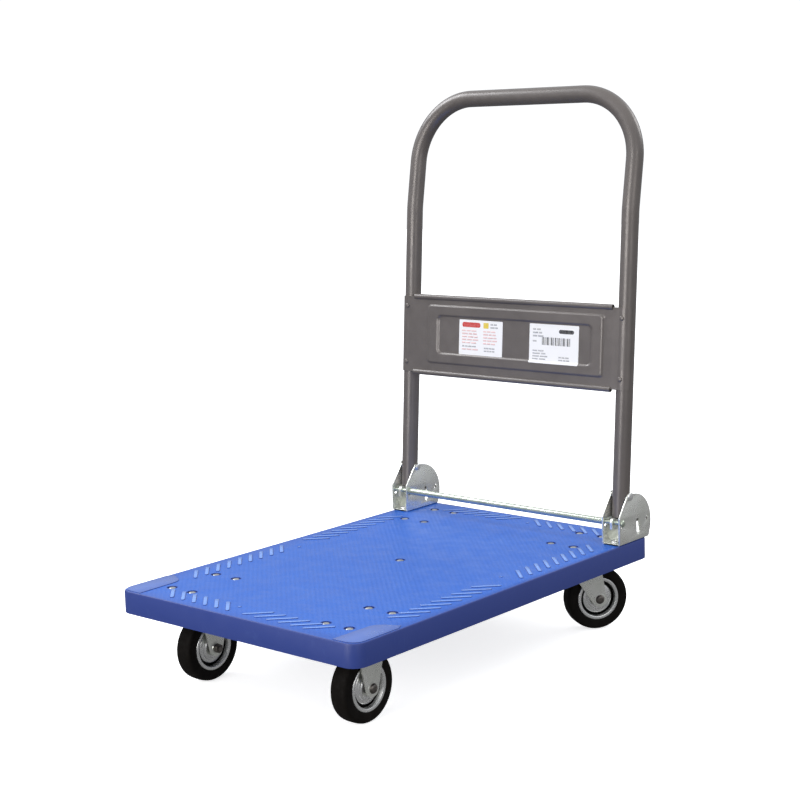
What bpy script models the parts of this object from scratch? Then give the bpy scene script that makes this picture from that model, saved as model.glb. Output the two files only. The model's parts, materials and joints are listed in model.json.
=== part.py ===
"""Folding platform cart: moulded deck, two rigid and two swivel casters, fold-down push handle.

Metres, +Z up, ground at Z = 0. +Y points to the handle end and X runs across the deck.
"""

import math

import bmesh
import bpy
from mathutils import Matrix, Vector

MM = 0.001
GAP = 0.3 * MM                      # clearance between touching pieces
PAST = 10 * MM                      # how far a cutter runs past the surface it opens
REACH = 500 * MM                    # longer than any piece that a cutter passes right through

# Deck
DECK_WIDTH = 480 * MM
DECK_LENGTH = 724 * MM
DECK_HEIGHT = 34.5 * MM             # depth of the skirt
DECK_TOP = 151 * MM                 # loading height above the ground
DECK_CORNER = 22 * MM
DECK_EDGE = 3 * MM                  # rounding round the top
DECK_SKIN = 3.5 * MM
DECK_WALL = 4 * MM
RIB = 3 * MM
RIB_RECESS = 6 * MM                 # how far the ribs stop short of the skirt's lower edge
BOLT_BAND = 18 * MM                 # width of the thick ribs that carry the bolts
SEAT_DEPTH = 23 * MM                # from the loading face down to the caster plates
SEAT_MARGIN = 3 * MM
CENTRE_BOLT_Y = 10 * MM
THIN_RIBS_X = (-70 * MM, 70 * MM)
THIN_RIBS_Y = (-150 * MM, -75 * MM, 85 * MM, 160 * MM)
BRACKET_PAD = 20 * MM               # solid deck in front of the brackets
BOLT_HOLE = 3.5 * MM                # radius
BOLT_RECESS = 8 * MM                # radius
BOLT_RECESS_DEPTH = 2.4 * MM

# Casters
WHEEL_RADIUS = 52.5 * MM
TYRE_WIDTH = 29.7 * MM
RIM_RADIUS = 35.4 * MM
BORE_RADIUS = 8.3 * MM
BUSH_RADIUS = 8.0 * MM
AXLE_RADIUS = 4.0 * MM
FORK_INSIDE = 37 * MM               # between the legs
FORK_SHEET = 2.5 * MM
FORK_EYE = 13 * MM                  # radius of a leg's lower end
PLATE = 3 * MM
PLATE_WIDTH = 62 * MM
BOLT_PITCH_X = 44 * MM
FRONT_X, FRONT_Y = 158 * MM, -262.5 * MM
FRONT_PITCH_Y = 90 * MM
REAR_X, REAR_Y = 156 * MM, 272 * MM
REAR_PITCH_Y = 82 * MM
TRAIL = 31.3 * MM                   # from a swivel axis to its wheel's axle
RACE_HEIGHT = 7.4 * MM
RACE_RADIUS = 24 * MM
KINGPIN_RADIUS = 6 * MM
SWIVEL = {"left": math.radians(-21), "right": math.radians(-33.4)}

# Handle
POST_X = 223.2 * MM
TUBE_RADIUS = 14 * MM
TUBE_WALL = 1.5 * MM
PIVOT_Y = 302 * MM
PIVOT_HEIGHT = 77 * MM              # above the deck
POST_LEAN = math.radians(4.2)
GRIP_LEAN = math.radians(9.4)
KINK_HEIGHT = 535 * MM              # above the deck
GRIP_HEIGHT = 719 * MM              # tube axis of the grip above the deck
GRIP_BEND = 107 * MM
KINK_BEND = 150 * MM
STUB = 35 * MM                      # tube below the pivot
GRIP_REAR = (
    PIVOT_Y
    + (KINK_HEIGHT - PIVOT_HEIGHT) * math.tan(POST_LEAN)
    + (GRIP_HEIGHT - KINK_HEIGHT) * math.tan(GRIP_LEAN)
    + TUBE_RADIUS
)
PANEL_LOW, PANEL_HIGH = 171.5 * MM, 303.5 * MM    # along the posts, from the pivot
PANEL_SHEET = 1.2 * MM
PANEL_FLAT = 205 * MM               # half width of the sheet before it wraps round the posts
FRAME_X = (150 * MM, 188 * MM)      # inner and outer half width of the pressed frame
FRAME_Z = (31 * MM, 49.5 * MM)      # inner and outer half height
FRAME_RISE, FRAME_SLOPE = 2.5 * MM, 2 * MM
PANEL_WRAP = TUBE_RADIUS + 2 * GAP + PANEL_SHEET / 2    # from the posts' axis to mid-sheet
HEM_RADIUS = 4.6 * MM
HEM_LENGTH = 412 * MM
RIVET_INSET = 17 * MM               # rivets from the panel's long edges
RIVET_SHANK = 1.9 * MM              # radius
# name: left, right, bottom and top, from the middle of the panel
LABELS = {
    "label_left": (-105 * MM, -12 * MM, -28 * MM, 28 * MM),
    "label_right": (44 * MM, 142 * MM, -28 * MM, 28 * MM),
}

# Brackets and foot release
BRACKET_WIDTH = 34 * MM
BRACKET_SHEET = 2.2 * MM
BRACKET_BASE = 2.5 * MM
BRACKET_Y = 271 * MM                # front edge
BRACKET_LENGTH = 87 * MM
EAR_FRONT, EAR_NOSE, EAR_TOP = 47 * MM, 26 * MM, 80.5 * MM    # upright edge, slanted edge, height
EAR_CENTRE, EAR_RADIUS = (41.5 * MM, 28 * MM), 51 * MM        # of the round back
REAR_SLOT = ((354 * MM, 35 * MM), (350 * MM, 30 * MM))
KEYHOLE_FOOT, KEYHOLE_RADIUS = 15 * MM, 4.6 * MM
BRACKET_BOLTS_Y = (283 * MM, 347 * MM)
BAR_RADIUS = 5.5 * MM               # of the sleeve between the brackets
ROD_RADIUS = 3.5 * MM               # of the rod that runs through the ears
ROD_HEAD = 5.5 * MM
BAR_Y, BAR_HEIGHT = 279 * MM, 36.5 * MM
BAR_TRAVEL = 4 * MM
PIN_RADIUS = 2.4 * MM
PIN_Y, PIN_HEIGHT = 324 * MM, 34.5 * MM
LOCK_SHEET = 4 * MM
LOCK_LOW, LOCK_NECK, LOCK_CATCH = 26.5 * MM, 36 * MM, 41 * MM    # heights above the deck
SPRING_Y = 300 * MM
SPRING_HEIGHT = 23 * MM
SPRING_RADIUS = 4 * MM
SPRING_WIRE = 0.6 * MM

SIDES = {"left": -1, "right": 1}
FULL_TURN = 2 * math.pi
TO_X = Matrix.Rotation(math.pi / 2, 4, "Y")      # turns a piece built along Z to lie along X

# name: colour, metallic, roughness
FINISHES = {
    "blue_plastic": ((0.02, 0.10, 0.52), 0.0, 0.45),
    "zinc_plate": ((0.62, 0.63, 0.60), 1.0, 0.38),
    "grey_paint": ((0.10, 0.093, 0.095), 0.2, 0.42),
    "rubber": ((0.012, 0.010, 0.009), 0.0, 0.75),
    "dark_steel": ((0.16, 0.15, 0.14), 1.0, 0.45),
    "spring_steel": ((0.42, 0.41, 0.40), 1.0, 0.35),
    "black_plastic": ((0.02, 0.02, 0.02), 0.0, 0.5),
    "white_label": ((0.85, 0.85, 0.84), 0.0, 0.5),
}


def reset():
    """Empties the file and makes the two collections."""
    for obj in list(bpy.data.objects):
        bpy.data.objects.remove(obj, do_unlink=True)
    collections = []
    for name in ("folding_platform_cart", "cutters"):
        group = bpy.data.collections.new(name)
        bpy.context.scene.collection.children.link(group)
        collections.append(group)
    return collections


PARTS, CUTTERS = reset()


def finish(name):
    """The named material, made the first time it is asked for."""
    if name in bpy.data.materials:
        return bpy.data.materials[name]
    colour, metallic, roughness = FINISHES[name]
    material = bpy.data.materials.new(name)
    material.use_nodes = True
    shader = material.node_tree.nodes["Principled BSDF"]
    shader.inputs["Base Color"].default_value = (*colour, 1)
    shader.inputs["Metallic"].default_value = metallic
    shader.inputs["Roughness"].default_value = roughness
    return material


def add_object(name, mesh, parent=None, matrix=None, group=None):
    obj = bpy.data.objects.new(name, mesh)
    (group or PARTS).objects.link(obj)
    if parent is not None:
        obj.parent = parent
    if matrix is not None:
        obj.matrix_local = matrix
    return obj


def add_part(name, mesh, material, parent=None, matrix=None):
    """A sub-part with its finish, smooth where it is round."""
    mesh.materials.clear()
    mesh.materials.append(finish(material))
    mesh.shade_smooth()
    mesh.set_sharp_from_angle(angle=math.radians(32))
    return add_object(name, mesh, parent, matrix)


def add_empty(name, location, turn=0.0, parent=None):
    empty = add_object(name, None, parent)
    empty.location = location
    empty.rotation_euler = (0, 0, turn)
    empty.empty_display_size = 0.03
    return empty


def add_cutter(name, mesh, matrix=None, parent=None):
    obj = add_object(name, mesh, parent, matrix, CUTTERS)
    obj.hide_render = True
    obj.display_type = "WIRE"
    return obj


def boolean(obj, tool, operation="DIFFERENCE"):
    modifier = obj.modifiers.new(tool.name, "BOOLEAN")
    modifier.operation = operation
    modifier.object = tool
    modifier.solver = "EXACT"


def evaluated_mesh(obj, name):
    """The object's mesh as modelled, welded; the object itself is removed."""
    bpy.context.view_layer.update()
    depsgraph = bpy.context.evaluated_depsgraph_get()
    mesh = bpy.data.meshes.new_from_object(obj.evaluated_get(depsgraph))
    mesh.name = name
    bm = bmesh.new()
    bm.from_mesh(mesh)
    bmesh.ops.remove_doubles(bm, verts=bm.verts, dist=1e-6)
    bmesh.ops.recalc_face_normals(bm, faces=bm.faces)
    bm.to_mesh(mesh)
    bm.free()
    bpy.data.objects.remove(obj, do_unlink=True)
    return mesh


def box_mesh(name, boxes):
    """Boxes given by their lowest and highest corners, in one mesh."""
    bm = bmesh.new()
    for low, high in boxes:
        low, high = Vector(low), Vector(high)
        size = Matrix.Diagonal((*(high - low), 1))
        bmesh.ops.create_cube(bm, size=1, matrix=Matrix.Translation((low + high) / 2) @ size)
    mesh = bpy.data.meshes.new(name)
    bm.to_mesh(mesh)
    bm.free()
    return mesh


def cylinder_mesh(name, rods, segments=16):
    """Cylinders along Z, each given as (x, y, lowest z, highest z, radius), in one mesh."""
    bm = bmesh.new()
    for x, y, low, high, radius in rods:
        place = Matrix.Translation((x, y, (low + high) / 2))
        size = {"radius1": radius, "radius2": radius, "depth": high - low}
        bmesh.ops.create_cone(bm, cap_ends=True, segments=segments, matrix=place, **size)
    mesh = bpy.data.meshes.new(name)
    bm.to_mesh(mesh)
    bm.free()
    return mesh


def plate_mesh(name, outlines, thickness):
    """A flat plate on XY, centred on Z = 0; the outlines after the first are holes."""
    curve = bpy.data.curves.new(name, "CURVE")
    curve.dimensions = "2D"
    curve.fill_mode = "BOTH"
    curve.extrude = thickness / 2
    for outline in outlines:
        spline = curve.splines.new("POLY")
        spline.points.add(len(outline) - 1)
        spline.use_cyclic_u = True
        for point, (x, y) in zip(spline.points, outline):
            point.co = (x, y, 0, 1)
    return evaluated_mesh(add_object(name, curve), name)


def turned_mesh(name, profile, steps=32, closed=True):
    """A profile of (radius, height) turned about Z; it runs down its outer side."""
    mesh = bpy.data.meshes.new(name)
    edges = [(i, i + 1) for i in range(len(profile) - 1)]
    if closed:
        edges.append((len(profile) - 1, 0))
    mesh.from_pydata([(radius, 0, height) for radius, height in profile], edges, [])
    obj = add_object(name, mesh)
    screw = obj.modifiers.new("turn", "SCREW")
    screw.axis = "Z"
    screw.steps = screw.render_steps = steps
    screw.use_merge_vertices = True
    screw.merge_threshold = 1e-6
    return evaluated_mesh(obj, name)


def tube_mesh(name, points, radius, resolution, capped=True):
    """A round tube along a path of points."""
    curve = bpy.data.curves.new(name, "CURVE")
    curve.dimensions = "3D"
    curve.bevel_depth = radius
    curve.bevel_resolution = resolution
    curve.use_fill_caps = capped
    spline = curve.splines.new("POLY")
    spline.points.add(len(points) - 1)
    for point, place in zip(spline.points, points):
        point.co = (*place, 1)
    return evaluated_mesh(add_object(name, curve), name)


def arc(centre, radius, start, end, steps):
    """Points along an arc; the angles are in degrees."""
    turns = [math.radians(start + (end - start) * i / steps) for i in range(steps + 1)]
    return [(centre[0] + radius * math.cos(a), centre[1] + radius * math.sin(a)) for a in turns]


def circle(centre, radius, steps=16):
    return arc(centre, radius, 0, 360, steps)[:-1]


def slot(start, end, radius, end_radius=None, steps=5):
    """A slot between two points; its far end may have a radius of its own."""
    end_radius = end_radius or radius
    angle = math.degrees(math.atan2(end[1] - start[1], end[0] - start[0]))
    near = arc(start, radius, angle + 90, angle + 270, steps)
    return near + arc(end, end_radius, angle - 90, angle + 90, steps)


def rounded_path(points, radii, steps):
    """A 3D path whose inner points are replaced by arcs of the given radii."""
    path = [points[0]]
    for before, corner, after, radius, count in zip(points, points[1:], points[2:], radii, steps):
        to_before, to_after = (before - corner).normalized(), (after - corner).normalized()
        half = to_before.angle(to_after) / 2
        centre = corner + (to_before + to_after).normalized() * (radius / math.sin(half))
        tangent = radius / math.tan(half)
        start = corner + to_before * tangent - centre
        end = corner + to_after * tangent - centre
        path += [centre + start.slerp(end, i / count).normalized() * radius for i in range(count + 1)]
    return path + [points[-1]]


def upright(x, y, z):
    """Turns a plate drawn on XY so that its X runs along +Y, its Y up, and its thickness across."""
    return Matrix(((0, 0, 1, x), (1, 0, 0, y), (0, 1, 0, z), (0, 0, 0, 1)))


# Deck ------------------------------------------------------------------------------------------

def bolt_places():
    """Centres of the recessed bolts on the loading face."""
    places = [(0, CENTRE_BOLT_Y)]
    for side in SIDES.values():
        for x, y, pitch in ((FRONT_X, FRONT_Y, FRONT_PITCH_Y), (REAR_X, REAR_Y, REAR_PITCH_Y)):
            for i in (-1, 1):
                for j in (-1, 1):
                    places.append((side * x + i * BOLT_PITCH_X / 2, y + j * pitch / 2))
    return places


def spaces(ribs, low, high):
    """The spaces that ribs, given as (centre, width), leave between two walls."""
    edges = [low]
    for centre, width in sorted(ribs):
        edges += [centre - width / 2, centre + width / 2]
    edges.append(high)
    return list(zip(edges[::2], edges[1::2]))


def pocket_boxes():
    """The pockets under the deck; the corners under the brackets stay solid."""
    bands_x = [side * (FRONT_X + i * BOLT_PITCH_X / 2) for side in (-1, 1) for i in (-1, 1)]
    ribs_x = [(x, BOLT_BAND) for x in bands_x + [0]] + [(x, RIB) for x in THIN_RIBS_X]
    bands_y = [FRONT_Y - FRONT_PITCH_Y / 2, FRONT_Y + FRONT_PITCH_Y / 2]
    bands_y += [REAR_Y - REAR_PITCH_Y / 2, REAR_Y + REAR_PITCH_Y / 2, CENTRE_BOLT_Y]
    ribs_y = [(y, BOLT_BAND) for y in bands_y] + [(y, RIB) for y in THIN_RIBS_Y]
    half_width, half_length = DECK_WIDTH / 2 - DECK_WALL, DECK_LENGTH / 2 - DECK_WALL
    solid_from_x, solid_from_y = POST_X - BRACKET_WIDTH / 2, BRACKET_Y - BRACKET_PAD
    boxes = []
    for x0, x1 in spaces(ribs_x, -half_width, half_width):
        for y0, y1 in spaces(ribs_y, -half_length, half_length):
            under_bracket = max(abs(x0), abs(x1)) > solid_from_x and y1 > solid_from_y
            at_corner = max(abs(x0), abs(x1)) > solid_from_x and y0 < -half_length + RIB
            if under_bracket:
                continue
            trim = DECK_CORNER / 3 if at_corner else 0
            side = math.copysign(trim, x0)
            low_x, high_x = (x0 - min(side, 0), x1) if x0 < 0 else (x0, x1 - max(side, 0))
            boxes.append(((low_x, y0 + trim, -DECK_HEIGHT - PAST), (high_x, y1, -DECK_SKIN)))
    return boxes


def seat_boxes():
    """Recesses in the ribs for the caster plates, and the step at the ribs' lower edge."""
    inset = DECK_WALL + 2 * RIB
    half_width, half_length = DECK_WIDTH / 2 - inset, DECK_LENGTH / 2 - inset
    step = RIB_RECESS - DECK_HEIGHT
    under = -DECK_HEIGHT - PAST
    reach_x = PLATE_WIDTH / 2 + SEAT_MARGIN
    seats = []
    for side in SIDES.values():
        for x, y, pitch in ((FRONT_X, FRONT_Y, FRONT_PITCH_Y), (REAR_X, REAR_Y, REAR_PITCH_Y)):
            reach_y = (pitch + BOLT_BAND) / 2 + SEAT_MARGIN + PLATE
            low = (side * x - reach_x, y - reach_y, under)
            seats.append((low, (side * x + reach_x, y + reach_y, -SEAT_DEPTH)))
    floor = ((-half_width, -half_length, under - PAST), (half_width, half_length, step))
    return floor, seats


def make_deck(frame):
    bm = bmesh.new()
    size = Matrix.Diagonal((DECK_WIDTH, DECK_LENGTH, DECK_HEIGHT, 1))
    bmesh.ops.create_cube(bm, size=1, matrix=Matrix.Translation((0, 0, -DECK_HEIGHT / 2)) @ size)
    corners = [e for e in bm.edges if abs(e.verts[0].co.z - e.verts[1].co.z) > MM]
    bmesh.ops.bevel(bm, geom=corners, offset=DECK_CORNER, segments=5, profile=0.5, affect="EDGES")
    rim = [e for e in bm.edges if all(v.co.z > -MM for v in e.verts)]
    bmesh.ops.bevel(bm, geom=rim, offset=DECK_EDGE, segments=2, profile=0.5, affect="EDGES")
    mesh = bpy.data.meshes.new("deck")
    bm.to_mesh(mesh)
    bm.free()
    deck = add_part("deck", mesh, "blue_plastic", frame, Matrix.Translation((0, 0, DECK_TOP)))
    floor, seats = seat_boxes()
    under = -DECK_HEIGHT - PAST
    recesses = [(x, y, -BOLT_RECESS_DEPTH, PAST, BOLT_RECESS) for x, y in bolt_places()]
    holes = [(x, y, under, 2 * PAST, BOLT_HOLE) for x, y in bolt_places()]
    anchor_places = [(side * POST_X, y) for side in SIDES.values() for y in BRACKET_BOLTS_Y]
    anchors = [(x, y, under, PAST, AXLE_RADIUS + 2 * GAP) for x, y in anchor_places]
    cuts = {
        "deck_pockets": box_mesh("deck_pockets", pocket_boxes()),
        "deck_rib_step": box_mesh("deck_rib_step", [floor]),
        "deck_seats": box_mesh("deck_seats", seats),
        "deck_bolt_recesses": cylinder_mesh("deck_bolt_recesses", recesses, 12),
        "deck_bolt_holes": cylinder_mesh("deck_bolt_holes", holes + anchors, 8),
    }
    for name, cutter_mesh in cuts.items():
        boolean(deck, add_cutter(name, cutter_mesh, Matrix.Translation((0, 0, DECK_TOP)), frame))


# Casters ---------------------------------------------------------------------------------------

def tyre_profile():
    """The tyre's section as (radius, offset from the wheel's middle), outer side first."""
    half = TYRE_WIDTH / 2
    bead, bore = half - 1 * MM, RIM_RADIUS - 2.1 * MM
    side = [
        (WHEEL_RADIUS, half - 7 * MM),
        (WHEEL_RADIUS - 4 * MM, half - 0.6 * MM),
        (RIM_RADIUS + 3 * MM, half),
        (RIM_RADIUS + 0.8 * MM, bead),
        (bore, bead),
    ]
    return mirrored(side)


def rim_profile():
    """The pressed rim's section: flanged barrel, deep groove and raised hub disc."""
    flange = TYRE_WIDTH / 2 + 0.5 * MM
    seat = TYRE_WIDTH / 2 - 0.7 * MM
    side = [
        (RIM_RADIUS - 2.4 * MM, seat),
        (RIM_RADIUS, seat),
        (RIM_RADIUS, flange),
        (RIM_RADIUS - 5.4 * MM, flange),
        (RIM_RADIUS - 6.8 * MM, 5 * MM),
        (RIM_RADIUS - 10.4 * MM, 5 * MM),
        (RIM_RADIUS - 11.4 * MM, 9.5 * MM),
        (15 * MM, 14 * MM),
        (BORE_RADIUS, 14 * MM),
    ]
    return mirrored(side)


def mirrored(side):
    """A closed section from its upper half, running down the outer side and up the bore."""
    return side[::-1] + [(radius, -offset) for radius, offset in side]


def make_wheel(name, parent, centre):
    """A tyre on its rim, turning about the bush that the axle clamps between the fork's legs."""
    hub = add_empty(f"{name}_wheel_axis", centre, 0, parent)
    add_part(f"{name}_tyre", turned_mesh(f"{name}_tyre", tyre_profile(), 32), "rubber", hub, TO_X)
    add_part(f"{name}_rim", turned_mesh(f"{name}_rim", rim_profile(), 20), "zinc_plate", hub, TO_X)
    half = FORK_INSIDE / 2 - GAP
    bore = AXLE_RADIUS + GAP
    bush = [(bore, half), (BUSH_RADIUS, half), (BUSH_RADIUS, -half), (bore, -half)]
    add_part(f"{name}_bush", turned_mesh(f"{name}_bush", bush, 18), "black_plastic", parent,
             Matrix.Translation(centre) @ TO_X)


def make_axle(name, parent, centre, outward):
    """A bolt through both legs, its head on the outer side, and its nut."""
    leg = FORK_INSIDE / 2 + FORK_SHEET + GAP
    head, end = leg + 4 * MM, -(leg + 7.5 * MM)
    bolt = [(0, head), (5.5 * MM, head), (7.6 * MM, leg + 1.2 * MM), (7.6 * MM, leg),
            (AXLE_RADIUS, leg), (AXLE_RADIUS, end), (0, end)]
    nut_low, nut_high = -(leg + 6 * MM), -leg
    bore = (AXLE_RADIUS + GAP) / math.cos(math.pi / 6)
    nut = [(bore, nut_high), (7.5 * MM, nut_high), (7.5 * MM, nut_low), (bore, nut_low)]
    facing = TO_X if outward > 0 else TO_X @ Matrix.Rotation(math.pi, 4, "X")
    matrix = Matrix.Translation(centre) @ facing
    axle = turned_mesh(f"{name}_axle", bolt, 16, closed=False)
    add_part(f"{name}_axle", axle, "dark_steel", parent, matrix)
    add_part(f"{name}_axle_nut", turned_mesh(f"{name}_axle_nut", nut, 6), "dark_steel", parent, matrix)


def fork_solid(name, outline, axle, crown_top, parent, matrix):
    """Two legs joined by a crown: the leg's outline across the full width, hollowed for the wheel."""
    width = FORK_INSIDE + 2 * FORK_SHEET
    mesh = plate_mesh(name, [outline, circle(axle, AXLE_RADIUS + GAP, 12)], width)
    mesh.transform(upright(0, 0, 0))
    fork = add_part(name, mesh, "zinc_plate", parent, matrix)
    crown = crown_top - PLATE
    space = ((-FORK_INSIDE / 2, -REACH, -REACH), (FORK_INSIDE / 2, REACH, crown))
    hollow = box_mesh(f"{name}_hollow", [space])
    return fork, add_cutter(f"{name}_hollow", hollow, matrix, parent)


def plate_with_holes(name, pitch_y, top):
    """A caster's top plate with four bolt holes, its upper face at the given height."""
    half_x, half_y, corner = PLATE_WIDTH / 2, (pitch_y + BOLT_BAND) / 2, 6 * MM
    centres = [(half_x - corner, half_y - corner), (corner - half_x, half_y - corner),
               (corner - half_x, corner - half_y), (half_x - corner, corner - half_y)]
    outline = [p for i, c in enumerate(centres) for p in arc(c, corner, 90 * i, 90 * i + 90, 3)]
    holes = [circle((i * BOLT_PITCH_X / 2, j * pitch_y / 2), BOLT_HOLE, 8) for i in (-1, 1) for j in (-1, 1)]
    mesh = plate_mesh(name, [outline] + holes, PLATE)
    mesh.transform(Matrix.Translation((0, 0, top - PLATE / 2)))
    return mesh


def make_rigid_caster(side, sign, frame):
    """A front caster: its fork is welded to the plate."""
    name = f"front_{side}"
    place = Vector((sign * FRONT_X, FRONT_Y, 0))
    top = DECK_TOP - SEAT_DEPTH - GAP
    axle = (0, WHEEL_RADIUS)
    shoulder = 30 * MM
    outline = [(shoulder, top - PLATE / 2), (-shoulder, top - PLATE / 2), (-shoulder, top - 12 * MM)]
    outline += arc(axle, FORK_EYE, 190, 350, 6) + [(shoulder, top - 12 * MM)]
    at = Matrix.Translation(place)
    fork, hollow = fork_solid(f"{name}_fork", outline, axle, top - PLATE / 2, frame, at)
    plate = add_cutter(f"{name}_plate", plate_with_holes(f"{name}_plate", FRONT_PITCH_Y, top), at, frame)
    boolean(fork, hollow)
    boolean(fork, plate, "UNION")
    make_axle(name, frame, place + Vector((0, 0, WHEEL_RADIUS)), sign)
    make_wheel(name, frame, place + Vector((0, 0, WHEEL_RADIUS)))


def make_swivel_caster(side, sign, frame):
    """A rear caster: plate, race and kingpin stay with the deck; the fork turns and trails its wheel."""
    name = f"rear_{side}"
    place = Vector((sign * REAR_X, REAR_Y, 0))
    at = Matrix.Translation(place)
    top = DECK_TOP - SEAT_DEPTH - GAP
    race_top = top - PLATE - GAP
    crown_top = race_top - RACE_HEIGHT - GAP

    plate = add_part(f"{name}_top_plate", plate_with_holes(f"{name}_top_plate", REAR_PITCH_Y, top),
                     "zinc_plate", frame, at)
    bore = KINGPIN_RADIUS + GAP
    hole = cylinder_mesh(f"{name}_plate_bore", [(0, 0, top - PAST, top + PAST, bore)], 16)
    boolean(plate, add_cutter(f"{name}_plate_bore", hole, at, frame))

    low = race_top - RACE_HEIGHT
    race = [(bore, race_top), (RACE_RADIUS, race_top), (RACE_RADIUS + 1.5 * MM, low + 2 * MM),
            (RACE_RADIUS + 1.5 * MM, low), (bore, low)]
    add_part(f"{name}_race", turned_mesh(f"{name}_race", race, 28), "zinc_plate", frame, at)

    flange, head = KINGPIN_RADIUS + 3 * MM, 2.5 * MM
    under = crown_top - PLATE - GAP
    above = top + GAP
    pin = [(0, above + head), (flange, above + head), (flange, above), (KINGPIN_RADIUS, above),
           (KINGPIN_RADIUS, under), (flange, under), (flange, under - head), (0, under - head)]
    kingpin = turned_mesh(f"{name}_kingpin", pin, 16, closed=False)
    add_part(f"{name}_kingpin", kingpin, "dark_steel", frame, at)

    swivel = add_empty(f"{name}_swivel_axis", place, SWIVEL[side], frame)
    axle = (TRAIL, WHEEL_RADIUS)
    outline = [(34 * MM, crown_top), (-RACE_RADIUS, crown_top), (-RACE_RADIUS, crown_top - PLATE)]
    outline += [(-13 * MM, crown_top - PLATE)]
    outline += arc(axle, FORK_EYE, 200, 355, 6) + [(34 * MM, crown_top - 8 * MM)]
    fork, hollow = fork_solid(f"{name}_fork", outline, axle, crown_top, swivel, Matrix())
    boolean(fork, hollow)
    rod = (0, 0, crown_top - PAST, crown_top + PAST, bore)
    crown_bore = cylinder_mesh(f"{name}_crown_bore", [rod], 16)
    boolean(fork, add_cutter(f"{name}_crown_bore", crown_bore, Matrix(), swivel))
    make_axle(name, swivel, Vector((0, TRAIL, WHEEL_RADIUS)), sign)
    make_wheel(name, swivel, Vector((0, TRAIL, WHEEL_RADIUS)))


# Handle ----------------------------------------------------------------------------------------

def handle_path():
    """The tube's axis from the pivot: up the left post, over the grip and down the right post."""
    up = Vector((0, math.sin(POST_LEAN), math.cos(POST_LEAN)))
    foot = -up * STUB
    kink = up * ((KINK_HEIGHT - PIVOT_HEIGHT) / up.z)
    reach = GRIP_HEIGHT - KINK_HEIGHT
    grip = kink + Vector((0, reach * math.tan(GRIP_LEAN), reach))
    across = Vector((POST_X, 0, 0))
    corners = [foot - across, kink - across, grip - across, grip + across, kink + across, foot + across]
    return rounded_path(corners, (KINK_BEND, GRIP_BEND, GRIP_BEND, KINK_BEND), (2, 7, 7, 2))


def panel_mesh(name):
    """The pressed panel in the posts' plane: X across, Z along the posts, -Y to the front."""
    wrap = PANEL_WRAP
    slopes_x = [edge + s * FRAME_SLOPE for edge in FRAME_X for s in (-1, 1)]
    columns = sorted({s * x for x in [0, *slopes_x, PANEL_FLAT] for s in (-1, 1)})
    angles = [math.radians(a) for a in (-12, 6, 24, 42, 60)]
    flaps = [POST_X + wrap * math.sin(a) for a in angles]
    columns = [-x for x in reversed(flaps)] + columns + flaps
    middle = (PANEL_LOW + PANEL_HIGH) / 2
    half = (PANEL_HIGH - PANEL_LOW) / 2
    slopes_z = [edge + s * FRAME_SLOPE for edge in FRAME_Z for s in (-1, 1)]
    rows = [middle + z for z in sorted(s * z for z in [*slopes_z, half] for s in (-1, 1))]
    bm = bmesh.new()
    bmesh.ops.create_grid(bm, x_segments=len(columns) - 1, y_segments=len(rows) - 1, size=0.5)
    for vert in bm.verts:
        column = round((vert.co.x + 0.5) * (len(columns) - 1))
        row = round((vert.co.y + 0.5) * (len(rows) - 1))
        x, z = columns[column], rows[row]
        across, along = abs(x), abs(z - middle)
        inside = across < FRAME_X[1] and along < FRAME_Z[1]
        on_frame = inside and (across > FRAME_X[0] or along > FRAME_Z[0])
        depth = -wrap - (FRAME_RISE if on_frame else 0)
        if across > PANEL_FLAT + MM:
            depth = -math.sqrt(max(wrap ** 2 - (across - POST_X) ** 2, 0))
        vert.co = (x, depth, z)
    bmesh.ops.recalc_face_normals(bm, faces=bm.faces)
    mesh = bpy.data.meshes.new(name)
    bm.to_mesh(mesh)
    bm.free()
    obj = add_object(name, mesh)
    shell = obj.modifiers.new("sheet", "SOLIDIFY")
    shell.thickness = PANEL_SHEET
    shell.offset = 0
    return evaluated_mesh(obj, name)


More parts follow.
